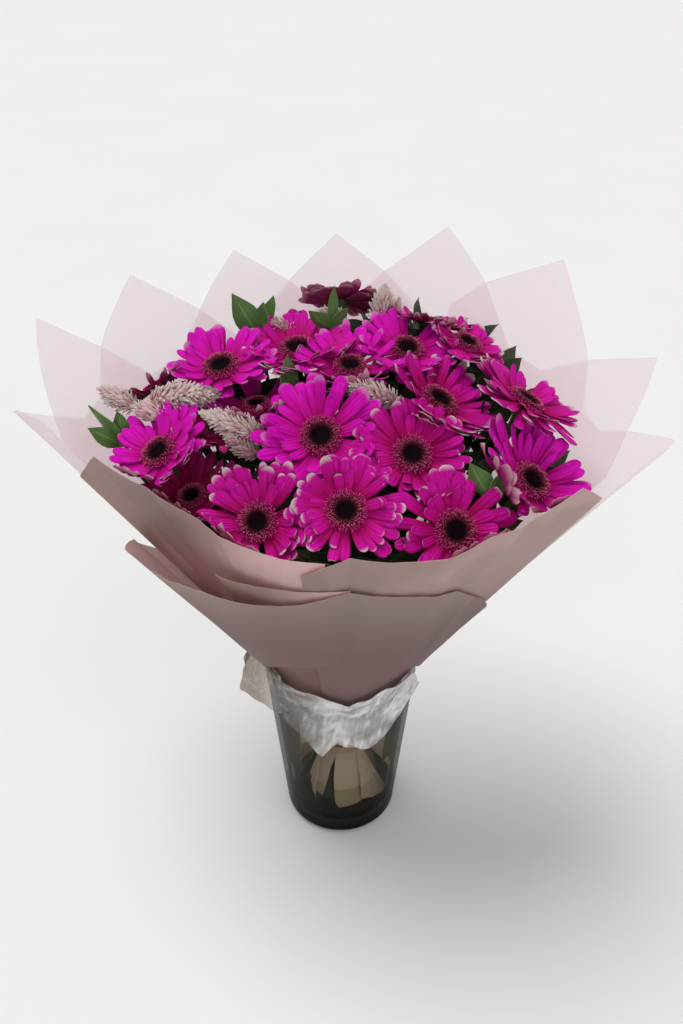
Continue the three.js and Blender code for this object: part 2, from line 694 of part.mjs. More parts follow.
// ---------------------------------------------------------------- clear wrap at the lip
// It lines the mouth of the vase, crumples over the lip and hangs outside at the left.
function clearWrap() {
  const points = [];
  const triangles = [];
  const turns = [152, 166, 178, 190, 202, 214, 226, 238, 250, 262, 274, 286, 298, 310, 322, 336];
  const rows = 6;
  turns.forEach((turn, i) => {
    const flap = clamp(1 - Math.abs(turn - 190) / 34, 0, 1);
    const hang = curve([[150, 168], [240, 160], [270, 150], [292, 138], [315, 156], [338, 172]], turn);
    const zig = i % 2 === 0 ? 1 : -1;
    const over = film(turn, 222) + 3 * layerStep(222) + 2.6;
    const path = [
      [wallInside(hang) - 2.2 - zig * 0.8, hang + zig * 3],
      [wallInside(180) - 1.2 - zig * 0.25, 178],
      [wallInside(196) - 0.8, 197],
      [Math.max(film(turn, 209) + 3 * layerStep(209) + 1.6, wallInside(198) - 0.7), 209],
      [Math.max(over, 76) + 0.5 * zig, 219 + zig * 1.5],
      [Math.max(over, 80) + 3.2 + flap * 12 + zig * 0.8, lerp(215, 182, flap) + zig * 1.2],
    ];
    for (const [r, z] of path) points.push(vec(r * Math.cos(rad(turn)), r * Math.sin(rad(turn)), z));
  });
  for (let i = 0; i + 1 < turns.length; i++) {
    for (let j = 0; j + 1 < rows; j++) {
      const a = i * rows + j;
      const b = a + rows;
      triangles.push([a, b, a + 1], [b, b + 1, a + 1]);
    }
  }
  return blade(points, triangles, CLEAR_WRAP);
}

// ---------------------------------------------------------------- vase, water, binding
function vaseProfile() {
  const points = [[0, 0]];
  const foot = VASE_FOOT - FOOT_ROUND;
  for (let i = 0; i <= 4; i++) {
    const a = rad(90 * i / 4);
    points.push([foot + FOOT_ROUND * Math.sin(a), FOOT_ROUND * (1 - Math.cos(a))]);
  }
  points.push([VASE_MOUTH, VASE_HEIGHT - 2], [VASE_MOUTH - 1, VASE_HEIGHT]);
  points.push([VASE_MOUTH - VASE_WALL + 1, VASE_HEIGHT], [VASE_MOUTH - VASE_WALL, VASE_HEIGHT - 2]);
  points.push([wallInside(VASE_FLOOR + 6), VASE_FLOOR + 6], [wallInside(VASE_FLOOR) - 6, VASE_FLOOR]);
  points.push([0, VASE_FLOOR]);
  return points;
}
function wallInside(z) {
  return lerp(VASE_FOOT, VASE_MOUTH, (z - FOOT_ROUND) / (VASE_HEIGHT - 2 - FOOT_ROUND)) - VASE_WALL;
}
function lathe(points, sides) {
  const geometry = new THREE.LatheGeometry(points.map(([x, y]) => new THREE.Vector2(x, y)), sides);
  geometry.rotateX(Math.PI / 2);
  return geometry;
}
function waterSolid() {
  const gap = CLEAR;
  const inside = (z) => wallInside(z) * Math.cos(Math.PI / VASE_SIDES) - gap;
  let water = fromGeometry(lathe([
    [0, VASE_FLOOR + gap], [inside(VASE_FLOOR) - 6.3, VASE_FLOOR + gap],
    [inside(VASE_FLOOR + 6), VASE_FLOOR + 6.5],
    [inside(WATER_LEVEL), WATER_LEVEL], [0, WATER_LEVEL]], VASE_SIDES));
  for (const line of stemLines(0.5)) {
    if (line.whole) water = water.subtract(stemRod(line));
  }
  for (const name of ["film_front_left", "film_front_right", "film_back_right_outer"]) {
    const turns = [...SHEETS[name].turns];
    turns[0] -= 1.5;
    turns[turns.length - 1] += 1.5;
    const tail = SHEETS[name].tail.map(([turn, z]) => [turn, z - 1]);
    water = water.subtract(sheetSolid({ ...SHEETS[name], turns, tail, levels: ["tail", 86] }, FILM + 1));
  }
  return water;
}
function tieSolid() {
  const sides = 20;
  const inner = (WAIST + 3 * layerStep(TIE_HEIGHT) + FILM / 2 + CLEAR) / Math.cos(Math.PI / sides);
  const low = TIE_HEIGHT - TIE_WIDTH / 2;
  const high = TIE_HEIGHT + TIE_WIDTH / 2;
  const outer = inner + 2.4;
  return fromGeometry(lathe(
    [[inner, low], [outer, low + 2], [outer, high - 2], [inner, high], [inner, low]], sides));
}

// ---------------------------------------------------------------- the whole bouquet
// each look is a colour, a roughness and an opacity
const LOOKS = {
  petal: [0xb8069a, 0.55, 1], dark: [0x8a1150, 0.6, 1], disc: [0x5a2a34, 0.85, 1],
  leaf: [0x2f5a22, 0.45, 1], feather: [0xd8c4b4, 0.9, 1], stem: [0x39502a, 0.6, 1],
  film: [0xe2b8be, 0.55, 0.7], front: [0xa88c86, 0.6, 1], clear: [0xdfe2e4, 0.15, 0.35],
  glass: [0x8c8a84, 0.05, 0.4], water: [0x9aa7a4, 0.03, 0.3], tie: [0xc9b08a, 0.7, 1],
};
function materialOf(look) {
  const [color, roughness, opacity] = LOOKS[look];
  return new THREE.MeshStandardMaterial({
    color, roughness, metalness: 0, transparent: opacity < 1, opacity });
}
const group = new THREE.Group();
function place(name, solid, look) {
  const mesh = new THREE.Mesh(toGeometry(solid), materialOf(look));
  mesh.name = name;
  group.add(mesh);
}

place("glass_vase", fromGeometry(lathe(vaseProfile(), VASE_SIDES)), "glass");
place("water", waterSolid(), "water");
place("stem_bunch", stemBunch(), "stem");
place("tie", tieSolid(), "tie");
for (const [name, sheet] of Object.entries(SHEETS)) {
  place(name, sheetSolid(sheet), name.includes("back") ? "film" : "front");
}
place("clear_wrap", clearWrap(), "clear");
ITEMS.forEach((it, i) => {
  if (it.kind === "head") {
    const hidden = NO_DISC.includes(it.name);
    place("gerbera_" + it.name + "_petals", headSolid(it, i), hidden ? "dark" : "petal");
    if (!hidden) place("gerbera_" + it.name + "_disc", discSolid(it), "disc");
  } else if (it.kind === "spray") {
    place("ruscus_" + it.name, spraySolid(it, i), "leaf");
  } else {
    place("celosia_" + it.name, sprigSolid(it), "feather");
  }
});

export default group;
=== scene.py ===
"""Gerberas in a tapered glass vase, wrapped in pink film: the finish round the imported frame."""
import json
import math

import bpy
import numpy as np
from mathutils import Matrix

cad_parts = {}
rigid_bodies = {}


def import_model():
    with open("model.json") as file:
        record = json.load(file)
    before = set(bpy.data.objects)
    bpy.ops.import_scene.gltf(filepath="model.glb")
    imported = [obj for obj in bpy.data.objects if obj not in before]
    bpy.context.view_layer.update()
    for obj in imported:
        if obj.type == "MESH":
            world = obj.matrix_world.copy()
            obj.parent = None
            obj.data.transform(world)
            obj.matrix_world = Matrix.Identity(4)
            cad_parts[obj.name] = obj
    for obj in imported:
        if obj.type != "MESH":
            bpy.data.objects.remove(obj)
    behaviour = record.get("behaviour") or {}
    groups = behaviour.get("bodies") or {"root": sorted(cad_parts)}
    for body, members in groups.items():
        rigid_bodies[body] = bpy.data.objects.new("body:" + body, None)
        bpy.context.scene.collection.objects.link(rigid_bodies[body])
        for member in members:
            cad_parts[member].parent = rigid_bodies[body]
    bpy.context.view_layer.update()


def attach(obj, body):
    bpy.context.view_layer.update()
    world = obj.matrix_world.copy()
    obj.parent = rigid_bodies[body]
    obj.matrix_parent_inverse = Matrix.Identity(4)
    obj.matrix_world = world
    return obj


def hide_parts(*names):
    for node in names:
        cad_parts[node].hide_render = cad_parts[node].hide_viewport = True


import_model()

# ------------------------------------------------------------ sizes, in millimetres
MM = 0.001
VASE_HEIGHT = 200.0
VASE_FOOT = 59.0              # outer radius just above the rounded foot
VASE_MOUTH = 77.0             # outer radius at the lip
VASE_WALL = 4.5
VASE_FLOOR = 14.0
FOOT_ROUND = 9.0
LIP_ROUND = 2.0
TIE_HEIGHT = 95.0
TIE_WIDTH = 10.0
GATHER = 9.0                  # half height of the band where the film lies on the stems
BOUND = 16.0                  # half height of the stretch where the stems lie side by side
CORE = 19.3                   # radius of the bound stems
WAIST = 20.1                  # the innermost film at the binding
MOUTH_Z = 202.0               # where the film leaves the vase
MOUTH_R = 62.0
SPREAD_Z = 440.0              # height at which the spread of the film is given
FILM = 0.3                    # thickness of the sheets of film
WRAP = 0.2                    # thickness of the clear wrap
HUB = 10.0                    # radius of the solid middle of a flower head
HEAD = 48.0                   # length of a middling petal from the middle of its head
DISC = 17.5                   # radius of the ring of small florets
CALYX = 8.5                   # radius of the green cup behind a middling head
STEM = 2.6
THIN_STEM = 1.9
NECK_R = 47.0                 # where the outer stems bend, in the mouth of the vase
NECK_Z = 214.0
GOLDEN_TURN = math.radians(137.508)

# ------------------------------------------------------------ what stands in the wrap
# heads: name, across, back, up, petal length, lean of the face, turn it leans to, how much
# further the petals on the face of the bouquet rise, pushed up by the heads before them, and
# how much longer the petals are than their share, where the neighbours leave room
HEADS = [
    ("front_middle", 4, -92, 453, 46, 49, -86, 6, 1.06),
    ("front_left", -68, -86, 437, 46, 49, -106, 30, 1.18),
    ("front_right", 95, -90, 431, 51, 48, -74, 20, 1.08),
    ("centre_left", -17, -15, 477, 54, 40, -95, 24, 1.06),
    ("centre_right", 61, -32, 469, 46, 41, -81, 20, 1.16),
    ("centre_back", 87, 30, 486, 49, 28, -18, 10, 1.24),
    ("right_back", 162, 15, 494, 48, 30, 11, -16, 1.2),
    ("right_front", 161, -50, 453, 49, 35, -38, 10, 1.32),
    ("left_back", -158, -12, 458, 46, 32, -139, 14, 1.12),
    ("left_front", -130, -31, 424, 37, 24, -124, 20, 1.45),
    ("back_far_left", -110, 75, 497, 48, 17, -121, 4, 1.1),
    ("back_left", -40, 95, 505, 50, 8, -113, 6, 1.12),
    ("back_middle", 9, 65, 502, 42, 12, -90, 16, 1.35),
    ("back_right", 62, 95, 505, 44, 18, -72, 10, 1.16),
    ("back_far_right", 118, 105, 506, 40, 21, -16, 8, 0.98),
    ("rear_middle", 1, 178, 517, 42, 49, 86, -10, 0.98),
    ("rear_right", 83, 150, 508, 34, 27, 63, -10, 1.5),
    ("low_left", -112, 20, 461, 32, 8, -135, 20, 1.6),
    ("low_middle", -76, 42, 474, 36, 6, 180, 20, 1.6),
    ("rear_left", -174, 80, 472, 32, 40, 141, 20, 1.4),
]
# heads that show no disc, heads with cream tips, and heads in the shade, darkened with painted shade
NO_DISC = ("rear_middle", "rear_right", "low_left", "low_middle", "rear_left")
PALE = ("front_middle", "front_left", "front_right", "centre_right", "centre_back", "right_back",
        "back_far_right", "back_left")
SHADED_HEADS = ("left_front", "low_left", "rear_left", "rear_middle", "rear_right")
# leaf sprays: name, foot of the spray, then each leaf as length, width, lean, turn
SPRAYS = [
    ("left", -195, 20, 446, ((50, 17, 32, 168), (40, 15, 52, 195), (36, 14, 12, 120))),
    ("back_left", -75, 125, 499, ((56, 22, 29, 169), (42, 20, 8, 270), (46, 18, 16, 20))),
    ("back", -10, 125, 513, ((46, 9, 10, 25), (32, 15, 42, 200), (28, 11, 40, 350))),
    ("middle", -46, 45, 473, ((52, 17, 4, 60), (30, 12, 40, 330))),
    ("right", 127, -68, 446, ((40, 18, 32, 158), (30, 18, 30, 20))),
]
# feathery sprigs: name, foot, then each spike as its two ends and its radius
SPRIGS = [
    ("left", -165, 34, 466, ((-171, 36, 484, -100, 30, 499, 11.5),
                             (-186, 42, 474, -221, 49, 490, 9), (-156, 24, 474, -186, 26, 484, 10))),
    ("middle_left", -62, -8, 452, ((-68, -3, 470, -125, 2, 493, 10.5),
                                   (-72, -14, 456, -103, -8, 477, 8))),
    ("middle", 52, 16, 478, ((50, 18, 492, -2, 30, 509, 10),)),
    ("back_middle", 4, 140, 500, ((4, 140, 516, -23, 140, 525, 7.5),)),
    ("back_left", -44, 132, 490, ((-45, 130, 507, -68, 122, 524, 7.5),)),
    ("back_right", 40, 140, 495, ((38, 140, 509, 43, 152, 547, 10), (50, 142, 508, 57, 150, 536, 6.5))),
]


# ------------------------------------------------------------ vectors and chance
def vec(*numbers):
    return np.array(numbers, float)


def unit(vectors):
    return vectors / np.maximum(np.linalg.norm(vectors, axis=-1, keepdims=True), 1e-9)


def dot(a, b):
    return (a * b).sum(-1)


def leaning(angle, turn):
    """A direction that leans from upright by an angle, towards a turn, both in degrees."""
    out, a = math.sin(math.radians(angle)), math.radians(turn)
    return vec(out * math.cos(a), out * math.sin(a), math.cos(math.radians(angle)))


def level(turn):
    """The level direction square to a turn, in degrees."""
    return vec(-math.sin(math.radians(turn)), math.cos(math.radians(turn)), 0)


def around(radius, turn, height):
    """Points round the middle, by their radius, their turn in radians and their height."""
    return np.stack(np.broadcast_arrays(radius * np.cos(turn), radius * np.sin(turn), height), -1)


def turned(vector, axis, angle):
    """A vector turned about a unit axis."""
    c, s = math.cos(angle), math.sin(angle)
    return vector * c + np.cross(axis, vector) * s + axis * dot(axis, vector) * (1 - c)


def chance(seed):
    """The same row of random numbers that the solids use."""
    state = (seed * 7919 + 104729) % 233280
    while True:
        state = (state * 9301 + 49297) % 233280
        yield state / 233280


def along_curve(pairs, at):
    """The height of a line through knots, given as pairs."""
    return np.interp(at, [p[0] for p in pairs], [p[1] for p in pairs])


# ------------------------------------------------------------ the spread of the film
# Seen from above the film is a fan: wide at the two sides, round behind and drawn
# straight across the front. Turns are in degrees from +X, and the face is at 270.
SIDE_SPREAD, BACK_SPREAD = 248.12, 183.86
SEAM = -8                     # the turn at which the face ends and the back begins
FACE_START = 178
FACE_SPREAD = [(178, 248), (184, 200), (195, 165), (213, 141), (239, 142), (257, 139), (273, 134),
               (287, 146), (302, 158), (315, 160), (327, 173), (336, 190), (346, 222), (352, 247)]
# how far each further layer of film lies outside the one before it, by height
LAYER_STEPS = [(TIE_HEIGHT, 1.15), (MOUTH_Z, 1.5), (MOUTH_Z + 50, 2.6)]


def spread(turn):
    """Radius of the innermost film at the height where its spread is given."""
    t = np.mod(turn - SEAM, 360) + SEAM
    back = BACK_SPREAD + (SIDE_SPREAD - BACK_SPREAD) * np.cos(np.radians(t)) ** 2
    return np.where(t > FACE_START, along_curve(FACE_SPREAD, t), back)


def film(turn, z):
    """Radius of the innermost film at a turn and height, above the binding."""
    above = MOUTH_R + (spread(turn) - MOUTH_R) * (z - MOUTH_Z) / (SPREAD_Z - MOUTH_Z)
    share = np.clip((z - TIE_HEIGHT - GATHER) / (MOUTH_Z - TIE_HEIGHT - GATHER), 0, 1)
    return np.where(z >= MOUTH_Z, above, WAIST + (MOUTH_R - WAIST) * share)


def layer_step(z):
    return along_curve(LAYER_STEPS, z)


# ------------------------------------------------------------ who has which space
# Balls stand for what an item fills. A head's is a share of its petals, a leaf's of its
# width and a spike's of its radius, at shares of its length. A foot has one of its own.
HEAD_BALL, LEAF_BALL, FOOT_BALL = 0.8, 0.45, 8
SPIKE_BALLS = ((0.1, 1.15), (0.4, 1.15), (0.7, 1.15), (0.95, 0.7))
APART = 140                   # items whose nearest balls have their middles further apart don't meet
# a neighbour's cup and stem: how far they lie behind its face, and the radius kept clear
STEM_BALLS = ((9, 11), (26, 5.5), (46, 5))
STRAIGHT_STEM = 26            # how far a stem runs straight back, before it leans to the vase
FILM_ROOM = 1.0               # between petals and the film, besides their margin
LEAST_GAP = 0.6               # the least margin of leaves and spikes, and of anything towards the film
# a way that runs into a wall: what is left of it when it has to turn up, by how much it
# turns up, how it slows down, and how fully points are pushed back out
HEAD_ON, LIFT, DRAG, PUSH = 0.35, 0.6, 0.8, 0.97


class Item:
    """A head, spray or sprig, with the walls that keep its petals out of its neighbours."""

    def __init__(self, kind, name, centre, spots):
        self.kind, self.name, self.centre, self.spots, self.walls = kind, name, centre, spots, []
        self.facing = vec(0, 0, 1)

    def face(self, lean, toward):
        """Turns the item to the way it leans, with a side and an upper way square to that."""
        self.facing, side = leaning(lean, toward), level(toward)
        self.axes = np.stack([side, np.cross(self.facing, side), self.facing])


def spike_ends(spike):
    return vec(*spike[:3]), vec(*spike[3:6])


def stand_items():
    items = []
    for name, x, y, z, size, lean, toward, cup, longer in HEADS:
        item = Item("head", name, vec(x, y, z), [(vec(x, y, z), size * HEAD_BALL)])
        item.size, item.cup, item.longer = size, cup, longer
        item.face(lean, toward)
        items.append(item)
    for name, x, y, z, leaves in SPRAYS:
        foot = vec(x, y, z)
        spots = [(foot + vec(0, 0, 6), FOOT_BALL)]
        spots += [(foot + leaning(a, t) * length * 0.5, width * LEAF_BALL) for length, width, a, t in leaves]
        items.append(Item("spray", name, foot, spots))
        items[-1].leaves = leaves
    for name, x, y, z, spikes in SPRIGS:
        spots = [(vec(x, y, z + 8), FOOT_BALL)]
        for spike in spikes:
            root, tip = spike_ends(spike)
            spots += [(root + (tip - root) * at, spike[6] * share) for at, share in SPIKE_BALLS]
        items.append(Item("sprig", name, vec(x, y, z), spots))
        items[-1].spikes = spikes
    return items


def build_walls(items):
    """One plane between each item and each neighbour, and planes against neighbours' stems."""
    for a in items:
        for b in items:
            if a is b:
                continue
            pairs = [(np.linalg.norm(p - q) - r - s, p, r, q, s) for p, r in a.spots for q, s in b.spots]
            _, p, r, q, s = min(pairs, key=lambda pair: pair[0])
            far = np.linalg.norm(q - p)
            if far > APART:
                continue
            away = (q - p) / far
            a.walls.append((away, dot(away, p) + far * r / (r + s)))
            if a.kind == b.kind == "head":
                wall_off_stem(a, b)


def wall_off_stem(head, neighbour):
    """Planes that keep a head's petals off the cup and the stem of a neighbour."""
    for down, thick in STEM_BALLS:
        at = neighbour.centre - neighbour.facing * min(down, STRAIGHT_STEM)
        if down > STRAIGHT_STEM:
            inward = -neighbour.centre[:2] * 0.05
            at = at + vec(*inward, STRAIGHT_STEM - down)
        way = at - head.centre
        gap = np.linalg.norm(way) - thick
        if gap < head.size + 4:
            head.walls.append((unit(way), dot(unit(way), head.centre) + gap))


def walls_at(item, points, margin):
    """Every wall of an item, with how far each point is past it. The film is never crossed."""
    for away, reach in item.walls:
        yield away, points @ away - (reach - margin)
    turn = np.arctan2(points[:, 1], points[:, 0])
    degrees = np.degrees(turn)
    slope = (spread(degrees) - MOUTH_R) / (SPREAD_Z - MOUTH_Z)
    away = around(1.0, turn, -slope)
    long = np.linalg.norm(away, axis=1)
    inside = film(degrees, points[:, 2]) - np.maximum(margin, LEAST_GAP) - FILM_ROOM
    yield away / long[:, None], (np.hypot(points[:, 0], points[:, 1]) - inside) / long


def walk(item, start, path, steps, margin):
    """Points go out from their start along their path, and turn along the walls they meet."""
    step = np.linalg.norm(path, axis=1) / steps
    way = unit(path)
    points, slow = start.copy(), np.ones(len(start))
    for _ in range(steps):
        heading = way.copy()
        for away, over in walls_at(item, points + heading * (step * slow)[:, None], margin):
            hit = over > 0
            if not hit.any():
                continue
            into = np.where(hit, np.maximum(dot(heading, away), 0), 0)
            heading = heading - away * into[:, None]
            short = hit & (np.linalg.norm(heading, axis=1) < HEAD_ON)
            lift = unit(item.facing - away * dot(item.facing, away)[..., None])
            heading = heading + lift * np.where(short, LIFT, 0)[:, None]
            heading = np.where(hit[:, None], unit(heading), heading)
            slow = np.where(hit, DRAG, slow)
        points = kept_clear(item, points + heading * (step * slow)[:, None], margin)
    return points


def kept_clear(item, points, margin):
    """Points pushed back to their own side of every wall."""
    for _ in range(3):
        for away, over in walls_at(item, points, margin):
            points = points - away * (np.maximum(over, 0) * PUSH)[:, None]
    return points


ITEMS = stand_items()
build_walls(ITEMS)


def items_of(kind):
    """The items of one kind, each with its number among them all."""
    return [(number, item) for number, item in enumerate(ITEMS) if item.kind == kind]


# ------------------------------------------------------------ meshes as arrays
MARKS = ("along", "across", "side", "tone")
CREASE = math.radians(55)     # the turn of a surface from which an edge is drawn sharp


class Shape:
    """A mesh as arrays: points, the corners of its faces, and a few numbers at each point."""

    def __init__(self, points, corners, sizes, marks):
        self.points, self.corners, self.sizes = points, corners, sizes
        self.marks = {name: np.broadcast_to(marks.get(name, 0.5), len(points)) for name in MARKS}

    def at(self, points):
        return Shape(points, self.corners, self.sizes, self.marks)


def joined(shapes):
    starts = np.cumsum([0] + [len(s.points) for s in shapes])
    return Shape(
        np.concatenate([s.points for s in shapes]),
        np.concatenate([s.corners + start for s, start in zip(shapes, starts)]),
        np.concatenate([s.sizes for s in shapes]),
        {name: np.concatenate([s.marks[name] for s in shapes]) for name in MARKS})


def quads(faces):
    faces = np.asarray(faces).reshape(-1, 4)
    return faces.ravel(), np.full(len(faces), 4)


def grid_faces(columns, rows):
    number = np.arange(columns * rows).reshape(columns, rows)
    return np.stack([number[:-1, :-1], number[1:, :-1], number[1:, 1:], number[:-1, 1:]], -1).reshape(-1, 4)


def ring_faces(rings, sides):
    """The faces between rings of points, with the numbers of the points and of the next ones."""
    number = np.arange(rings * sides).reshape(-1, sides)
    after = np.roll(number, -1, axis=1)
    return np.stack([number[:-1], after[:-1], after[1:], number[1:]], -1), number, after


def blade(grid, thickness, along, across, tone=0.5):
    """A closed thin blade from a grid of points, both faces split alike."""
    columns, rows = grid.shape[:2]
    count = columns * rows
    normal = unit(np.cross(np.gradient(grid, axis=0), np.gradient(grid, axis=1)))
    number = np.arange(count).reshape(columns, rows)
    front = grid_faces(columns, rows)
    rim = np.concatenate([number[:, 0], number[-1, 1:], number[-2::-1, -1], number[0, -2:0:-1]])
    following = np.roll(rim, -1)
    edge = np.stack([rim + count, following + count, following, rim], -1)
    corners, sizes = quads(np.concatenate([front, front[:, ::-1] + count, edge]))
    skins = [(grid + normal * half).reshape(-1, 3) for half in (thickness / 2, -thickness / 2)]
    twice = [np.tile(np.broadcast_to(mark, (columns, rows)).ravel(), 2) for mark in (along, across)]
    side = np.repeat([1.0, 0.0], count)
    return Shape(np.concatenate(skins), corners, sizes,
                 {"along": twice[0], "across": twice[1], "side": side, "tone": tone})


def tube(points, radii, sides, tone=0.5, beside=(0.3, 1, 0.2)):
    """A round rod along a path, closed at both ends."""
    points, radii = np.asarray(points, float), np.asarray(radii, float)
    heading = unit(np.gradient(points, axis=0))
    side = unit(np.cross(heading, beside))
    other = np.cross(heading, side)
    turn = 2 * math.pi * np.arange(sides) / sides
    ring = side[:, None] * np.cos(turn)[None, :, None] + other[:, None] * np.sin(turn)[None, :, None]
    skin = points[:, None] + ring * radii[:, None, None]
    faces, number, _ = ring_faces(len(points), sides)
    wall, sizes = quads(faces)
    along = np.repeat(np.linspace(0, 1, len(points)), sides)
    across = np.tile(np.arange(sides) / sides, len(points))
    return Shape(skin.reshape(-1, 3), np.concatenate([wall, number[0][::-1], number[-1]]),
                 np.concatenate([sizes, [sides, sides]]),
                 {"along": along, "across": across, "side": 1.0, "tone": tone})


def turned_shape(profile, sides):
    """A solid turned about +Z from a profile of (radius, height) that starts and ends at radius 0."""
    profile = np.asarray(profile, float)
    inner = profile[1:-1]
    skin = around(inner[:, :1], 2 * math.pi * np.arange(sides)[None] / sides, inner[:, 1:])
    faces, number, after = ring_faces(len(inner), sides)
    wall, sizes = quads(faces)
    ends = ((number.size, after[0], number[0]), (number.size + 1, number[-1], after[-1]))
    fans = [np.stack([np.full(sides, hub), early, late], -1).ravel() for hub, early, late in ends]
    points = np.concatenate([skin.reshape(-1, 3), [[0, 0, profile[0, 1]], [0, 0, profile[-1, 1]]]])
    along = np.concatenate([np.repeat(np.linspace(0, 1, len(inner)), sides), [0, 1]])
    return Shape(points, np.concatenate([wall, *fans]), np.concatenate([sizes, np.full(2 * sides, 3)]),
                 {"along": along, "side": 1.0})


def mesh_of(shape, name, scale=1.0, marks=MARKS):
    mesh = bpy.data.meshes.new(name)
    mesh.vertices.add(len(shape.points))
    mesh.vertices.foreach_set("co", (shape.points * scale).astype(np.float32).ravel())
    mesh.loops.add(len(shape.corners))
    mesh.loops.foreach_set("vertex_index", shape.corners.astype(np.int32))
    mesh.polygons.add(len(shape.sizes))
    starts = np.concatenate([[0], np.cumsum(shape.sizes)[:-1]])
    mesh.polygons.foreach_set("loop_start", starts.astype(np.int32))
    mesh.update(calc_edges=True)
    for mark in marks:
        numbers = shape.marks[mark].astype(np.float32)
        mesh.attributes.new(mark, "FLOAT", "POINT").data.foreach_set("value", numbers)
    mesh.polygons.foreach_set("use_smooth", np.ones(len(shape.sizes), bool))
    mesh.validate()
    mesh.set_sharp_from_angle(angle=CREASE)
    return mesh


def shape_of(mesh):
    points = np.empty(len(mesh.vertices) * 3)
    mesh.vertices.foreach_get("co", points)
    corners, sizes = np.empty(len(mesh.loops), int), np.empty(len(mesh.polygons), int)
    mesh.loops.foreach_get("vertex_index", corners)
    mesh.polygons.foreach_get("loop_total", sizes)
    marks = {}
    for mark in MARKS:
        if mark in mesh.attributes:
            marks[mark] = np.empty(len(mesh.vertices))
            mesh.attributes[mark].data.foreach_get("value", marks[mark])
    return Shape(points.reshape(-1, 3), corners, sizes, marks)


def piece(name, shape, look, slot, *nodes):
    """A finished piece in metres, in its place, that stands for the given nodes."""
    name = name.replace(" ", "_")
    made = bpy.data.objects.new(name, mesh_of(shape, name, MM))
    bpy.context.scene.collection.objects.link(made)
    made.data.materials.append(look)
    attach(made, "root")
    if nodes:
        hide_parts(*nodes)
    return made


# ------------------------------------------------------------ nodes, for shaders and growth
class Wire:
    """A socket that is used in sums as a number is."""

    def __init__(self, nodes, socket):
        self.nodes, self.socket = nodes, socket

    def math(self, operation, *others):
        return self.nodes.math(operation, self, *others)

    def __add__(self, other):
        return self.math("ADD", other)

    def __sub__(self, other):
        return self.math("SUBTRACT", other)

    def __rsub__(self, other):
        return self.nodes.math("SUBTRACT", other, self)

    def __mul__(self, other):
        return self.math("MULTIPLY", other)

    def __truediv__(self, other):
        return self.math("DIVIDE", other)

    def __rtruediv__(self, other):
        return self.nodes.math("DIVIDE", other, self)

    def __pow__(self, other):
        return self.math("POWER", other)

    __radd__ = __add__
    __rmul__ = __mul__


class Nodes:
    """Adds nodes to one tree and wires them up."""

    def __init__(self, tree):
        self.tree = tree

    def node(self, kind, settings=None, sockets=None, out=0):
        made = self.tree.nodes.new(kind)
        for key, value in (settings or {}).items():
            if key == "stops":
                set_stops(made.color_ramp, value)
            elif key == "curve":
                set_curve(made.mapping, value)
            else:
                setattr(made, key, value)
        for key, value in (sockets or {}).items():
            socket = pick(made.inputs, key)
            if isinstance(value, Wire):
                self.tree.links.new(value.socket, socket)
            else:
                socket.default_value = value
        return Wire(self, pick(made.outputs, out))

    def math(self, operation, *values):
        return self.node("ShaderNodeMath", {"operation": operation}, dict(enumerate(values)))

    def vector(self, x, y, z):
        return self.node("ShaderNodeCombineXYZ", None, {0: x, 1: y, 2: z})


def pick(sockets, key):
    if isinstance(key, int):
        return sockets[key]
    return next(s for s in sockets if s.name == key and s.enabled)


def set_stops(ramp, stops):
    while len(ramp.elements) > 1:
        ramp.elements.remove(ramp.elements[-1])
    for i, (place, colour) in enumerate(stops):
        stop = ramp.elements[0] if i == 0 else ramp.elements.new(place)
        stop.position, stop.color = place, colour


def set_curve(mapping, pairs):
    line = mapping.curves[0]
    for _ in range(len(pairs) - 2):
        line.points.new(0.5, 0.5)
    for point, (x, y) in zip(line.points, pairs):
        point.location, point.handle_type = (x, y), "AUTO"
    mapping.update()


# ------------------------------------------------------------ growth: what repeats
# each range of chance: low, high and the salt that keeps it apart from a tree's other draws
WHORL_CHANCE = {"slip": (-0.5, 0.5, 1), "roll": (-1, 1, 2), "reach": (-0.09, 0.06, 3),
                "breadth": (-0.16, 0.14, 4), "rise": (-0.45, 0.45, 5), "start": (0.0, 2 * math.pi, 50)}
SPIRAL_CHANCE = {"turn": (-0.3, 0.3, 1), "tilt": (-0.35, 0.35, 2), "width": (-0.1, 0.1, 3),
                 "size": (-0.2, 0.2, 4)}
PICK_SALT, TONE_SALT = 90, 91


def growth_tree(name, numbers):
    """A geometry tree with named inputs: its sizes as numbers, and a count and a seed."""
    tree = bpy.data.node_groups.new(name, "GeometryNodeTree")
    tree.interface.new_socket("Geometry", in_out="OUTPUT", socket_type="NodeSocketGeometry")
    for label in ("Count", "Seed"):
        tree.interface.new_socket(label, in_out="INPUT", socket_type="NodeSocketInt")
    for label in numbers:
        tree.interface.new_socket(label, in_out="INPUT", socket_type="NodeSocketFloat")
    nodes = Nodes(tree)
    given = tree.nodes.new("NodeGroupInput")
    inputs = {label: Wire(nodes, given.outputs[label]) for label in ("Count", "Seed", *numbers)}
    return nodes, inputs


def draw(nodes, given, low, high, salt, number=None):
    """A random number for each point, or for one given number, from the tree's own seed."""
    if number is None:
        number = nodes.node("GeometryNodeInputIndex")
    return nodes.node("FunctionNodeRandomValue", {"data_type": "FLOAT"},
                      {"Min": low, "Max": high, "ID": number, "Seed": given["Seed"] + salt}, "Value")


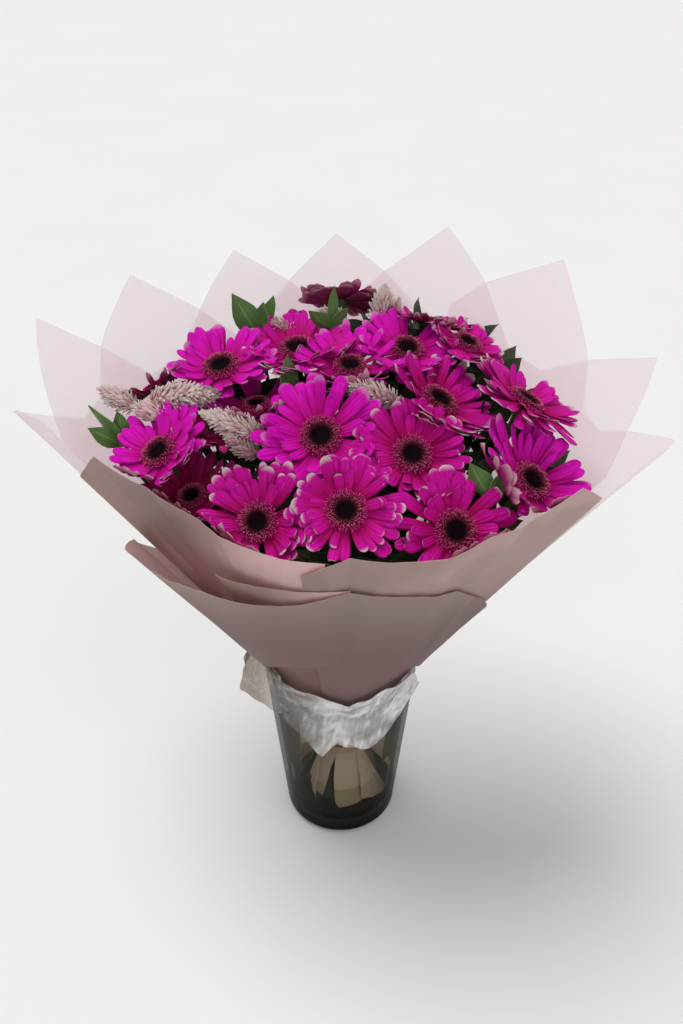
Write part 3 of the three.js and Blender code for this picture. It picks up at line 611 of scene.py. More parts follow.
def close_tree(nodes, given, points, shapes, rotation, scale, look):
    """Sets one of the shapes on each point, makes them real and gives them their material."""
    source = nodes.node("GeometryNodeCollectionInfo", None,
                        {"Collection": shapes, "Separate Children": True, "Reset Children": True})
    choice = draw(nodes, given, 0, len(shapes.objects) - 0.001, PICK_SALT).math("FLOOR")
    placed = nodes.node("GeometryNodeInstanceOnPoints", None, {
        "Points": points, "Instance": source, "Pick Instance": True, "Instance Index": choice,
        "Rotation": rotation, "Scale": scale})
    toned = nodes.node("GeometryNodeStoreNamedAttribute", {"data_type": "FLOAT", "domain": "INSTANCE"},
                       {"Geometry": placed, "Name": "tone", "Value": draw(nodes, given, 0, 1, TONE_SALT)})
    real = nodes.node("GeometryNodeRealizeInstances", None, {"Geometry": toned})
    finished = nodes.node("GeometryNodeSetMaterial", None, {"Geometry": real, "Material": look})
    out = nodes.tree.nodes.new("NodeGroupOutput")
    nodes.tree.links.new(finished.socket, out.inputs["Geometry"])
    return nodes.tree


def whorl_tree(name, shapes, look):
    """Petals round a middle, each a little different."""
    nodes, given = growth_tree(name, ("Reach", "Breadth", "Rise", "Height", "Scatter", "Roll"))
    index = nodes.node("GeometryNodeInputIndex")
    points = nodes.node("GeometryNodePoints", None, {
        "Count": given["Count"], "Position": nodes.vector(0, 0, given["Height"])})
    slip = draw(nodes, given, *WHORL_CHANCE["slip"]) * given["Scatter"]
    start = draw(nodes, given, *WHORL_CHANCE["start"], 0)
    turn = (index + slip) * (2 * math.pi) / given["Count"] + start
    roll = draw(nodes, given, *WHORL_CHANCE["roll"]) * given["Roll"]
    rotation = nodes.node("FunctionNodeEulerToRotation", None, {0: nodes.vector(roll, 0, turn)})
    scale = nodes.vector(*(given[label] * (1 + draw(nodes, given, *WHORL_CHANCE[label.lower()]))
                           for label in ("Reach", "Breadth", "Rise")))
    return close_tree(nodes, given, points, shapes, rotation, scale, look)


def spiral_tree(name, shapes, look, radius, height, lean, size):
    """Florets or bracts in a golden spiral over a turned form, whose lines are curves from 0 to 1."""
    nodes, given = growth_tree(name, ("Width", "Height", "Size", "Scatter"))
    index = nodes.node("GeometryNodeInputIndex")
    share = (index + 0.5) / given["Count"]
    far, high, bend, large = (nodes.node("ShaderNodeFloatCurve", {"curve": pairs}, {"Value": share})
                              for pairs in (radius, height, lean, size))
    chances = {key: draw(nodes, given, *limits) for key, limits in SPIRAL_CHANCE.items()}
    turn = index * GOLDEN_TURN + chances["turn"] * given["Scatter"]
    tilt = bend * (math.pi / 2) + chances["tilt"] * given["Scatter"]
    wide = far * given["Width"] * (1 + chances["width"] * given["Scatter"])
    out_x, out_y = turn.math("COSINE"), turn.math("SINE")
    points = nodes.node("GeometryNodePoints", None, {
        "Count": given["Count"],
        "Position": nodes.vector(out_x * wide, out_y * wide, high * given["Height"])})
    flat = tilt.math("SINE")
    way = nodes.vector(out_x * flat, out_y * flat, tilt.math("COSINE"))
    upright = nodes.node("FunctionNodeAlignRotationToVector", {"axis": "Z"}, {"Vector": way})
    faced = nodes.node("FunctionNodeAlignRotationToVector", {"axis": "X", "pivot_axis": "Z"},
                       {"Rotation": upright, "Vector": nodes.vector(out_x, out_y, 0)})
    scale = large * given["Size"] * (1 + chances["size"])
    return close_tree(nodes, given, points, shapes, faced, nodes.vector(scale, scale, scale), look)


def grown(tree, **settings):
    """Runs a growth tree and gives what it made, as arrays."""
    carrier = bpy.data.objects.new("carrier", bpy.data.meshes.new("carrier"))
    bpy.context.scene.collection.objects.link(carrier)
    growth = carrier.modifiers.new("growth", "NODES")
    growth.node_group = tree
    for socket in tree.interface.items_tree:
        if socket.in_out == "INPUT":
            kind = int if socket.name in ("Count", "Seed") else float
            growth[socket.identifier] = kind(settings[socket.name.lower()])
    graph = bpy.context.evaluated_depsgraph_get()
    mesh = bpy.data.meshes.new_from_object(carrier.evaluated_get(graph), preserve_all_data_layers=True,
                                           depsgraph=graph)
    shape = shape_of(mesh)
    carrier.modifiers.remove(growth)
    bpy.data.objects.remove(carrier)
    bpy.data.meshes.remove(mesh)
    return shape


def shelf(name, shapes):
    """Keeps a few shapes in a collection that growth trees pick from."""
    kept = bpy.data.collections.new(name)
    for i, shape in enumerate(shapes):
        label = f"{name}_{i}"
        kept.objects.link(bpy.data.objects.new(label, mesh_of(shape, label, 1.0, MARKS[:3])))
    return kept


def clear_shelf(kept):
    for made in list(kept.objects):
        bpy.data.objects.remove(made)
    bpy.data.collections.remove(kept)


# ------------------------------------------------------------ looks
# Colours are shares of red, green and blue light. A blend is a row of places and colours.
GROOVE_PINK, CREAM_TIP = (0.92, 0.34, 0.74), (1.0, 0.86, 0.88)
UNDERSIDE = ((0.2, (0.20, 0.006, 0.05)), (0.8, (0.42, 0.03, 0.20)), (0.97, (0.80, 0.44, 0.50)))
FLORET_ROOTS = ((0.40, (0.006, 0.001, 0.004)), (0.50, (0.05, 0.004, 0.015)), (0.7, (0.20, 0.006, 0.06)),
                (1.0, (0.34, 0.004, 0.13)))
FLORET_TIPS = ((0.42, (0.008, 0.002, 0.005)), (0.52, (0.16, 0.03, 0.04)), (0.72, (0.58, 0.15, 0.20)),
               (1.0, (0.66, 0.08, 0.28)))
BRACTS = ((0.0, (0.62, 0.24, 0.32)), (0.3, (1.0, 0.54, 0.61)), (0.6, (1.0, 0.83, 0.78)),
          (1.0, (1.0, 1.0, 0.93)))
BRACT_PINK, BRACT_LIGHT = (0.94, 0.46, 0.56), (0.80, 0.62, 0.52)
STEM_DARK, STEM_GREEN, STEM_BROWN = (0.012, 0.026, 0.008), (0.05, 0.09, 0.025), (0.06, 0.045, 0.025)
CLEAR_FILM = (0.985, 0.945, 0.96)
WRAP_WHITE, WRAP_LIGHT, WRAP_CLEAR, WRAP_DULL = (
    (0.95, 0.94, 0.95), (0.93, 0.92, 0.92), (0.93, 0.91, 0.90), (0.62, 0.575, 0.53))
MIRROR, GLASS_THIN, GLASS_THICK = (0.9, 0.9, 0.9), (0.94, 0.93, 0.91), (0.15, 0.14, 0.13)
WATER_CLEAR, WATER_DULL = (0.95, 0.96, 0.92), (0.88, 0.89, 0.84)
TWINE_DARK, TWINE_LIGHT = (0.34, 0.24, 0.13), (0.62, 0.50, 0.32)
GROUND_DARK, GROUND_LIGHT = (0.80, 0.80, 0.78), (0.84, 0.84, 0.82)


def look(name):
    material = bpy.data.materials.new(name)
    material.use_nodes = True
    material.node_tree.nodes.clear()
    return material, Nodes(material.node_tree)


def show(nodes, shader):
    out = nodes.tree.nodes.new("ShaderNodeOutputMaterial")
    nodes.tree.links.new(shader.socket, out.inputs["Surface"])


def marks(nodes, *names):
    """The numbers that a mesh keeps at its points."""
    return (nodes.node("ShaderNodeAttribute", {"attribute_name": name}, None, "Fac") for name in names)


def spot(nodes):
    """Where a point of the surface lies, in metres."""
    return nodes.node("ShaderNodeTexCoord", None, None, "Object")


def high_up(nodes):
    """The height of a point above the table, in metres."""
    return nodes.node("ShaderNodeSeparateXYZ", None, {0: spot(nodes)}, "Z")


def noise(nodes, where, scale, detail=3.0, warp=0.0):
    return nodes.node("ShaderNodeTexNoise", None, {
        "Vector": where, "Scale": scale, "Detail": detail, "Distortion": warp})


def ramp(nodes, value, *stops):
    blend = [(at, (*colour, 1)) for at, colour in stops]
    return nodes.node("ShaderNodeValToRGB", {"stops": blend}, {0: value})


def mixed(nodes, share, a, b, how="MIX"):
    """Two colours mixed by a share from 0 to 1."""
    def given(colour):
        return colour if isinstance(colour, Wire) else (*colour, 1)
    return nodes.node("ShaderNodeMix", {"data_type": "RGBA", "blend_type": how, "clamp_factor": True},
                      {0: share, 6: given(a), 7: given(b)}, 2)


def between(nodes, value, low, high):
    """0 before low, 1 past high and smooth between them."""
    return nodes.node("ShaderNodeMapRange", {"interpolation_type": "SMOOTHSTEP"}, {0: value, 1: low, 2: high})


def bump(nodes, height, distance, strength=1.0):
    return nodes.node("ShaderNodeBump", None, {"Height": height, "Distance": distance, "Strength": strength})


def surface(nodes, **sockets):
    named = {key.replace("_", " "): value for key, value in sockets.items()}
    return nodes.node("ShaderNodeBsdfPrincipled", None, named)


def mix_shaders(nodes, share, first, second):
    return nodes.node("ShaderNodeMixShader", None, {0: share, 1: first, 2: second})


def scattered(nodes, colour):
    """Light that comes through and is scattered."""
    return nodes.node("ShaderNodeBsdfTranslucent", None, {"Color": (*colour, 1)})


def see_through(nodes, colour):
    return nodes.node("ShaderNodeBsdfTransparent", None, {"Color": (*colour, 1)})


def petal_look(name, deep_and_shade, full, bright, pale):
    """Magenta straps, crimson at the root, darkened with painted shade along their edges between them, with
    long grooves and a cream tip.
    """
    material, nodes = look(name)
    along, across, side, tone = marks(nodes, *MARKS)
    edge = across.math("ABSOLUTE")
    streak = noise(nodes, nodes.vector(along * 1.1, across * 4.5, tone * 40), 2.2, 3)
    fine = noise(nodes, nodes.vector(along * 1.5, across * 14, tone * 70), 2.0, 2)
    skin = ramp(nodes, along + (streak - 0.5) * 0.16, (0.12, deep_and_shade), (0.5, full), (0.84, bright))
    lined = between(nodes, fine, 0.52, 0.70) * between(nodes, along, 0.25, 0.8)
    skin = mixed(nodes, lined * 0.16, skin, GROOVE_PINK)
    tip = between(nodes, along + edge ** 3 * 0.03 + (streak - 0.5) * 0.10 + (tone - 0.6) * 0.2, 0.92, 1.05)
    skin = mixed(nodes, tip * pale, skin, CREAM_TIP)
    # painted shade: each petal's edges darken towards the deep colour, where its neighbours shade it
    skin = mixed(nodes, between(nodes, edge, 0.7, 1.0) * (1 - tip) * 0.5, skin, deep_and_shade)
    skin = mixed(nodes, (tone - 0.5) * 0.4 + (streak - 0.5) * 0.5, skin, deep_and_shade)
    skin = mixed(nodes, side, ramp(nodes, along, *UNDERSIDE), skin)
    groove = (across * 9.5).math("COSINE") * 0.5 + fine
    body = surface(nodes, Base_Color=skin, Roughness=0.6, Normal=bump(nodes, groove, 0.0006, 0.8),
                   Specular_IOR_Level=0.12)
    show(nodes, mix_shaders(nodes, 0.2, body, scattered(nodes, full)))
    return material


def disc_look():
    """The eye is purple black, the florets round it brown, and the outer ones dusty pink."""
    material, nodes = look("florets")
    along, out, tone = marks(nodes, "along", "side", "tone")
    tipped = between(nodes, along + (tone - 0.5) * 0.5, 0.45, 1.0)
    skin = mixed(nodes, tipped, ramp(nodes, out, *FLORET_ROOTS), ramp(nodes, out, *FLORET_TIPS))
    show(nodes, surface(nodes, Base_Color=skin, Roughness=0.8, Specular_IOR_Level=0.1))
    return material


def leaf_look(name, dark, light):
    """Green leaves with a light midrib and edge."""
    material, nodes = look(name)
    along, across, side = marks(nodes, "along", "across", "side")
    edge = across.math("ABSOLUTE")
    green = mixed(nodes, noise(nodes, spot(nodes), 70.0, 4), dark, light)
    pale = tuple(x * 1.5 + 0.03 for x in light)
    green = mixed(nodes, (1 - between(nodes, edge, 0.02, 0.10)) * 0.5, green, pale)
    green = mixed(nodes, between(nodes, edge, 0.92, 1.0) * 0.5, green, pale)
    green = mixed(nodes, (1 - side) * 0.4, green, light)
    veins = (along * 60 - edge * 26).math("SINE") * 0.5 + (edge * 18).math("COSINE")
    body = surface(nodes, Base_Color=green, Roughness=0.42, Normal=bump(nodes, veins, 0.0002, 0.5),
                   Specular_IOR_Level=0.4)
    show(nodes, mix_shaders(nodes, 0.2, body, scattered(nodes, light)))
    return material


def feather_look():
    """Bracts with pink roots and cream tips."""
    material, nodes = look("feathery bracts")
    along, across, tone = marks(nodes, "along", "across", "tone")
    skin = ramp(nodes, along + (tone - 0.5) * 0.4, *BRACTS)
    skin = mixed(nodes, (noise(nodes, spot(nodes), 60.0, 2) - 0.5) * 1.8, skin, BRACT_PINK)
    body = surface(nodes, Base_Color=skin, Roughness=0.75, Sheen_Weight=0.4,
                   Normal=bump(nodes, (across * 9).math("COSINE"), 0.0002, 0.6))
    show(nodes, mix_shaders(nodes, 0.25, body, scattered(nodes, BRACT_LIGHT)))
    return material


def stem_look():
    """Dull ribbed green, brown on some stems."""
    material, nodes = look("stems")
    across, tone = marks(nodes, "across", "tone")
    green = mixed(nodes, noise(nodes, spot(nodes), 45.0, 4), STEM_DARK, STEM_GREEN)
    green = mixed(nodes, tone * 0.35, green, STEM_BROWN)
    ribs = (across * 50).math("COSINE")
    show(nodes, surface(nodes, Base_Color=green, Roughness=0.55, Normal=bump(nodes, ribs, 0.0002, 0.4)))
    return material


def film_look(name, outside, inside, deep_and_shade, tail, clear, through, glow):
    """Satin film, with its own colour on each side, that lets some light through.

    The deep colour is its outer colour low in the bouquet, a painted shade, and tail the colour inside the
    vase. Tone says how much of the inner colour shows outside, towards the lower edge and the last turn.
    """
    material, nodes = look(name)
    along, across, side, tone = marks(nodes, *MARKS)
    cloud = noise(nodes, spot(nodes), 7.0, 2, 0.4)
    high = high_up(nodes)
    # painted shade: the outer face turns to the deep colour lower down in the bouquet
    out = mixed(nodes, between(nodes, high + (cloud - 0.5) * 0.05, 0.30, 0.41), deep_and_shade, outside)
    rosy = between(nodes, across + (0.95 - along) * 2.2, 0.30, 0.72)
    out = mixed(nodes, rosy * between(nodes, high, 0.28, 0.33) * tone, out, inside)
    skin = mixed(nodes, side, inside, out)
    skin = mixed(nodes, between(nodes, high, 0.12, 0.07), skin, tail)
    fine = noise(nodes, spot(nodes), 260.0, 2) * 0.25 + noise(nodes, spot(nodes), 16.0, 2, 0.5)
    body = surface(nodes, Base_Color=skin, Roughness=0.5, Normal=bump(nodes, fine, 0.0012, 0.25),
                   Specular_IOR_Level=0.35)
    skin = mix_shaders(nodes, tone * 0.16 + glow, body, scattered(nodes, through))
    if clear > 0:
        skin = mix_shaders(nodes, clear, skin, see_through(nodes, CLEAR_FILM))
    show(nodes, skin)
    return material


def clear_look():
    """Clear crinkled wrap: white along its creases with a painted sheen, milky in patches and clear between
    them.

    It is milkiest at the right of the face, dull at the left and fades towards its free edge.
    """
    material, nodes = look("clear wrap")
    along, across, tone = marks(nodes, "along", "across", "tone")
    patch = noise(nodes, spot(nodes), 26.0, 1, 0.8)
    height = patch + noise(nodes, spot(nodes), 90.0, 2, 1.0) * 0.2
    body = surface(nodes, Base_Color=(*WRAP_WHITE, 1), Roughness=0.2, Normal=bump(nodes, height, 0.003, 0.5),
                   Coat_Weight=0.5, Coat_Roughness=0.12)
    open_view = mix_shaders(nodes, between(nodes, across, 0.45, 0.25), see_through(nodes, WRAP_CLEAR),
                            see_through(nodes, WRAP_DULL))
    right = between(nodes, across, 0.48, 0.66)
    milky = between(nodes, patch, 0.44, 0.60) * (0.09 + right * 0.36) + right * 0.18
    milky = milky * (0.35 + between(nodes, along, 1.0, 0.86) * 0.65)
    # painted sheen: where the tone marks a crease, the wrap turns whiter and less clear
    share = 0.05 + milky + tone ** 1.3 * (0.3 + right * 0.5)
    white = mix_shaders(nodes, 0.4, body, scattered(nodes, WRAP_LIGHT))
    show(nodes, mix_shaders(nodes, share, open_view, white))
    return material


def outline(nodes):
    """0 where a surface faces the eye, and near 1 at its outline."""
    return nodes.node("ShaderNodeLayerWeight", None, {"Blend": 0.5}, "Facing")


def mirror_skin(nodes, body, roughness, strength):
    """A clear body under a mirror skin that grows towards its outline."""
    skin = nodes.node("ShaderNodeBsdfGlossy", None, {"Color": (*MIRROR, 1), "Roughness": roughness})
    return mix_shaders(nodes, outline(nodes) ** 5 * strength + 0.012, body, skin)


def glass_look():
    """Smoky glass: a tinted clear body, darker where it is seen along the wall and in its thick foot."""
    material, nodes = look("smoky glass")
    cloud = noise(nodes, spot(nodes), 14.0, 2)
    foot = between(nodes, high_up(nodes), 0.030, 0.010) * 0.75
    body = mix_shaders(nodes, outline(nodes) ** 1.6 * (0.85 + cloud * 0.15) + foot,
                       see_through(nodes, GLASS_THIN), see_through(nodes, GLASS_THICK))
    show(nodes, mirror_skin(nodes, body, 0.05, 0.32))
    return material


def water_look():
    """Water with a faint cloud in it."""
    material, nodes = look("water")
    body = mix_shaders(nodes, noise(nodes, spot(nodes), 20.0, 2), see_through(nodes, WATER_CLEAR),
                       see_through(nodes, WATER_DULL))
    show(nodes, mirror_skin(nodes, body, 0.03, 0.15))
    return material


def tie_look():
    """Pale twine with fibres along it."""
    material, nodes = look("binding twine")
    along, across, tone = marks(nodes, "along", "across", "tone")
    fibre = noise(nodes, nodes.vector(along * 300, across * 6, tone), 1.0, 3)
    skin = mixed(nodes, fibre, TWINE_DARK, TWINE_LIGHT)
    show(nodes, surface(nodes, Base_Color=skin, Roughness=0.8, Normal=bump(nodes, fibre, 0.0006, 0.8)))
    return material


def floor_look():
    """Even pale ground."""
    material, nodes = look("pale ground")
    skin = mixed(nodes, noise(nodes, spot(nodes), 3.0, 4), GROUND_DARK, GROUND_LIGHT)
    show(nodes, surface(nodes, Base_Color=skin, Roughness=0.85))
    return material


PALE_TIPPED = petal_look(
    "pale tipped petals", deep_and_shade=(0.28, 0.0, 0.045), full=(0.62, 0.0, 0.21), bright=(0.82, 0.0, 0.45), pale=1.0)
PETALS = petal_look(
    "petals", deep_and_shade=(0.30, 0.0, 0.07), full=(0.76, 0.0, 0.38), bright=(0.94, 0.0, 0.66), pale=0.35)
# petals darkened with painted shade, for heads that stand in the shade of others
SHADED_PETALS = petal_look(
    "dark petals", deep_and_shade=(0.26, 0.002, 0.035), full=(0.42, 0.003, 0.11), bright=(0.56, 0.01, 0.20), pale=0.5)
LEAVES = leaf_look("leaves", dark=(0.06, 0.15, 0.035), light=(0.16, 0.29, 0.085))
# a darker copy of the leaves: painted shade for the greens under the heads
SHADED_LOW_LEAVES = leaf_look("low leaves", dark=(0.018, 0.036, 0.014), light=(0.06, 0.09, 0.035))
FLORETS, FEATHERS, STEMS = disc_look(), feather_look(), stem_look()
BACK_FILM = film_look(
    "back film", outside=(0.98, 0.89, 0.91), inside=(0.98, 0.89, 0.91), deep_and_shade=(0.93, 0.78, 0.80),
    tail=(0.98, 0.90, 0.72), clear=0.72, through=(0.98, 0.91, 0.93), glow=0.4)
FRONT_FILM = film_look(
    "front film", outside=(0.335, 0.29, 0.26), inside=(1.0, 0.72, 0.73), deep_and_shade=(0.185, 0.135, 0.14),
    tail=(0.92, 0.78, 0.60), clear=0.0, through=(0.80, 0.64, 0.61), glow=0.38)
LINING = film_look(
    "folded film", outside=(0.30, 0.235, 0.20), inside=(0.30, 0.235, 0.20), deep_and_shade=(0.20, 0.155, 0.13),
    tail=(0.15, 0.12, 0.10), clear=0.25, through=(0.30, 0.24, 0.20), glow=0.3)
CLEAR_WRAP, GLASS, WATER, TWINE = clear_look(), glass_look(), water_look(), tie_look()


# ------------------------------------------------------------ flower heads
PETAL_STEPS = np.array([0, 0.1, 0.2, 0.32, 0.45, 0.58, 0.70, 0.80, 0.88, 0.94, 0.98, 1.0])
PETAL_GRID = (len(PETAL_STEPS), 7)
PETAL_ROOT = 7                # radius at which petals start
PETAL_THICK = 0.45
PETAL_WALK = 16               # steps in which petals go out along the walls that they meet
LONGEST_PETAL = 66.0
# half the width of a petal along it
PETAL_WIDTHS = [(0, 1.8), (0.12, 2.6), (0.3, 3.9), (0.5, 4.8), (0.70, 5.4), (0.80, 5.5), (0.88, 5.2),
                (0.94, 4.3), (0.98, 2.8), (1, 1.0)]
# forms that differ a little: petals as curl, ripple and breadth, bracts and florets as length, width and curl
PETAL_FORMS = ((-1.5, 0.3, 1.0), (0.6, 0.7, 0.85), (2.2, -0.6, 1.08), (4.5, 0.4, 0.95), (-3.0, -0.9, 0.9))
BRACT_FORMS = ((11, 4.6, 0.12), (10, 4.0, 0.25), (12, 4.2, 0.0))
FLORET_FORMS = ((3.4, 0.95, 0.3), (2.8, 0.8, 0.6), (3.9, 0.9, 0.1))
BRACT = dict(widths=[(0, 0.45), (0.3, 1), (0.6, 0.8), (1, 0.08)], hollow=0.25, droop=0, thick=0.12)
FLORET = dict(widths=[(0, 0.7), (0.5, 0.8), (0.85, 1.0), (1, 0.4)], hollow=0, droop=0.2, thick=0.45)
# petals lie flat to this radius and reach their climb over the next stretch, or a little more
FLAT_PART, CLIMB, STEEPEST = 16, 14, 1.15
# whorls: petals, reach, breadth, rise, height, how much nearer to its walls, how light its tips may be
WHORLS = [(19, 1.0, 1.12, 9, 0.0, 0, 1.0), (18, 0.94, 1.06, 16, 0.7, 1, 1.0),
          (16, 0.85, 0.95, 22, 1.4, 4, 0.5), (12, 0.68, 0.8, 28, 2.0, 8, 0.35)]
SMALL_HEAD = 44               # heads up to this size have three whorls
FRONT_PAST, PAST = 16.0, 21.0  # how far petals may reach past the walls between heads
REAR_BREADTH = 1.35
DOME = [(0.9, 1.3), (0.96, 2.2), (0.8, 4.0), (0.55, 4.3), (0.3, 3.8)]
DOME_LOW, DOME_HIGH, FLORET_COUNT = 1.3, 3.5, 640


def petal_form(curl, ripple, breadth):
    """Middle surface of one petal along +X: a long strap with grooves and a rounded tip."""
    u, v = PETAL_STEPS[:, None], np.linspace(-1, 1, PETAL_GRID[1])[None]
    wide = breadth * along_curve(PETAL_WIDTHS, u)
    x = np.broadcast_to(PETAL_ROOT + (HEAD - PETAL_ROOT) * u, PETAL_GRID)
    y = wide * v + 0.6 * ripple * np.sin(u * 4 + ripple)
    z = wide * (-0.14 * v ** 2 + 0.06 * np.cos(v * 2.5 * math.pi) * np.sin(u * math.pi))
    z = z + curl * u ** 3 + 0.5 * ripple * np.sin(u * 7 + v)
    return Shape(np.stack([x, y, z], -1).reshape(-1, 3), *quads(grid_faces(*PETAL_GRID)), {})


def strap_form(length, width, curl, widths, hollow, droop, thick):
    """A small closed bract or floret that stands on the origin, along +Z, and curls towards +X."""
    u, v = np.linspace(0, 1, 5)[:, None], np.linspace(-1, 1, 3)[None]
    wide = along_curve(widths, u) * width / 2
    x = curl * u ** 2 * length - hollow * width * v ** 2 * u
    grid = np.stack(np.broadcast_arrays(x, -wide * v, u * length * (1 - droop * curl * u)), -1)
    return blade(grid, width * thick, u, v)


petal_shelf = shelf("petal", [petal_form(*form) for form in PETAL_FORMS])
bract_shelf = shelf("bract", [strap_form(*form, **BRACT) for form in BRACT_FORMS])
floret_shelf = shelf("floret", [strap_form(*form, **FLORET) for form in FLORET_FORMS])
WHORL = whorl_tree("petal whorl", petal_shelf, PETALS)
FLORET_DOME = spiral_tree(
    "floret dome", floret_shelf, FLORETS,
    radius=[(0, 0.02), (0.06, 0.25), (0.25, 0.5), (0.56, 0.75), (1, 1)],
    height=[(0, 0.62), (0.2, 0.55), (0.5, 0.7), (0.75, 0.55), (1, 0.10)],
    lean=[(0, 0.0), (0.3, 0.1), (0.6, 0.25), (0.8, 0.5), (1, 0.85)],
    size=[(0, 0.5), (0.15, 0.55), (0.3, 0.9), (1, 1)])
BRACT_SPIKE = spiral_tree(
    "bract spike", bract_shelf, FEATHERS,
    radius=[(0, 0.35), (0.12, 0.72), (0.28, 0.85), (0.5, 0.8), (0.7, 0.55), (0.88, 0.3), (1, 0.03)],
    height=[(0, 0.0), (1, 0.93)],
    lean=[(0, 0.7), (0.3, 0.42), (0.7, 0.3), (1, 0.0)],
    size=[(0, 0.6), (0.2, 0.95), (0.7, 0.9), (1, 0.6)])


def climbed(points, rise):
    """Petals lie flat under the disc and then climb, each by its own angle."""
    at = np.arange(0, LONGEST_PETAL)
    slope = np.radians(rise)[:, None] * np.clip((at - FLAT_PART) / CLIMB, 0, STEEPEST)
    out, up = np.cumsum(np.cos(slope), 1) - 1, np.cumsum(np.sin(slope), 1)
    for petal, across, high in zip(points, out, up):
        radius = np.hypot(petal[..., 0], petal[..., 1])
        petal[..., :2] *= (np.interp(radius, at, across) / radius)[..., None]
        petal[..., 2] += np.interp(radius, at, high)
    return points


def smoothed(grid, rounds):
    """Rows of points, each eased towards its neighbours, with the edges kept."""
    for _ in range(rounds):
        for axis in (1, 2):
            before, after = np.roll(grid, 1, axis), np.roll(grid, -1, axis)
            middle = [slice(None)] * 4
            middle[axis] = slice(1, -1)
            middle = tuple(middle)
            grid = grid.copy()
            grid[middle] = (before[middle] + grid[middle] * 2 + after[middle]) / 4
    return grid


def head_ring(item, seed, count, reach, breadth, rise, height, margin):
    """One whorl of petals of a head, bent along the walls that it meets."""
    size, each = item.size / HEAD, PETAL_GRID[0] * PETAL_GRID[1]
    flat = grown(WHORL, count=count, seed=seed, reach=size * reach, breadth=size * breadth, rise=1.0,
                 height=height, scatter=0.35, roll=0.16)
    petals = flat.points.reshape(-1, *PETAL_GRID, 3)
    tones = flat.marks["tone"].reshape(-1, each)[:, 0]
    way = unit(petals[:, -1, 3, :2]) @ item.axes[:2]
    near = np.clip(-way[:, 1] * 1.3, 0, 1)
    petals = climbed(petals, rise + (tones - 0.5) * 11 + item.cup * near)
    local = petals.reshape(-1, 3)
    share = np.minimum(1, HUB / np.hypot(local[:, 0], local[:, 1]))
    root = local * np.stack([share, share, np.zeros_like(share)], 1) + [0, 0, height]
    start, target = item.centre + root @ item.axes, item.centre + local @ item.axes
    margins = np.repeat(margin * (1 - 0.4 * near), each)
    ended = walk(item, start, target - start, PETAL_WALK, margins)
    moved = smoothed((ended - target).reshape(petals.shape), 3).reshape(-1, 3)
    bent = kept_clear(item, target + moved, margins).reshape(petals.shape)
    across = np.linspace(-1, 1, PETAL_GRID[1])[None]
    return joined([blade(petal, PETAL_THICK, PETAL_STEPS[:, None], across, tone)
                   for petal, tone in zip(bent, tones)])


def head_petals(item, number):
    past = FRONT_PAST if item.name.startswith("front") else PAST
    broad = REAR_BREADTH if item.name == "rear_middle" else 1
    whorls, rings = WHORLS if item.size > SMALL_HEAD else WHORLS[:3], []
    for i, (count, share, wide, rise, height, nearer, light) in enumerate(whorls):
        ring = head_ring(item, number * 10 + 3 + i, count, item.longer * share, wide * broad, rise, height,
                         nearer - past)
        if item.name != "front_middle":
            ring.marks["tone"] = ring.marks["tone"] * light
        rings.append(ring)
    return joined(rings)


def head_disc(item, number):
    """Florets on a low dome, from the dark eye to the pink rim."""
    reach = DISC * min(item.size / HEAD, 1.02)
    dome = turned_shape([(0, DOME_LOW), *((reach * share, z) for share, z in DOME), (0, DOME_HIGH)], 24)
    dome.marks["along"] = np.zeros(len(dome.points))
    florets = grown(FLORET_DOME, count=FLORET_COUNT, seed=number * 7 + 2, width=reach * 0.93, height=4.6,
                    size=reach / DISC * 0.86, scatter=0.6)
    florets.points[:, 2] += 1.6
    whole = joined([dome, florets])
    whole.marks["side"] = np.clip(np.hypot(whole.points[:, 0], whole.points[:, 1]) / reach, 0, 1.1)
    return whole.at(item.centre + whole.points @ item.axes)


def make_heads():
    for number, item in items_of("head"):
        hidden = item.name in NO_DISC
        petals, disc = f"gerbera_{item.name}_petals", f"gerbera_{item.name}_disc"
        # heads in the shade get the petals with painted shade
        skin = SHADED_PETALS if item.name in SHADED_HEADS else PALE_TIPPED if item.name in PALE else PETALS
        outer, inner = ("dark_petal", "dark_petal") if hidden else ("petal", "disc")
        piece(f"{item.name} petals", head_petals(item, number), skin, outer, petals)
        piece(f"{item.name} florets", head_disc(item, number), FLORETS, inner, petals if hidden else disc)
# ------------------------------------------------------------ leaves and feathery spikes
# half the width of a leaf along it, as a share of its widest
LEAF_WIDTHS = [(0, 0.08), (0.06, 0.2), (0.2, 0.62), (0.35, 0.93), (0.5, 1), (0.66, 0.86), (0.82, 0.5),
               (0.93, 0.2), (1, 0.02)]
LEAF_BREADTH = 0.6            # each side of a leaf, as a share of the width it is given
LEAF_THICK, LEAF_GAP, LEAF_WALK = 0.5, 0.8, 12
# low greens: the open places that are filled, and how far their feet lie below the heads
# there, in a ring by the film and in three gaps at the back
OPEN_PLACES, OPEN_DROP, RING_DROP, GAP_DROP = 54, 40, 54, 28
RING_TURNS = range(196, 340, 11)
BACK_GAPS = ((74, 176), (38, 160), (112, 150))
BARE_FROM, BARE_BETWEEN = 160, (-75, 20)  # none further right than this, between these two depths
LEAVES_EACH = 6


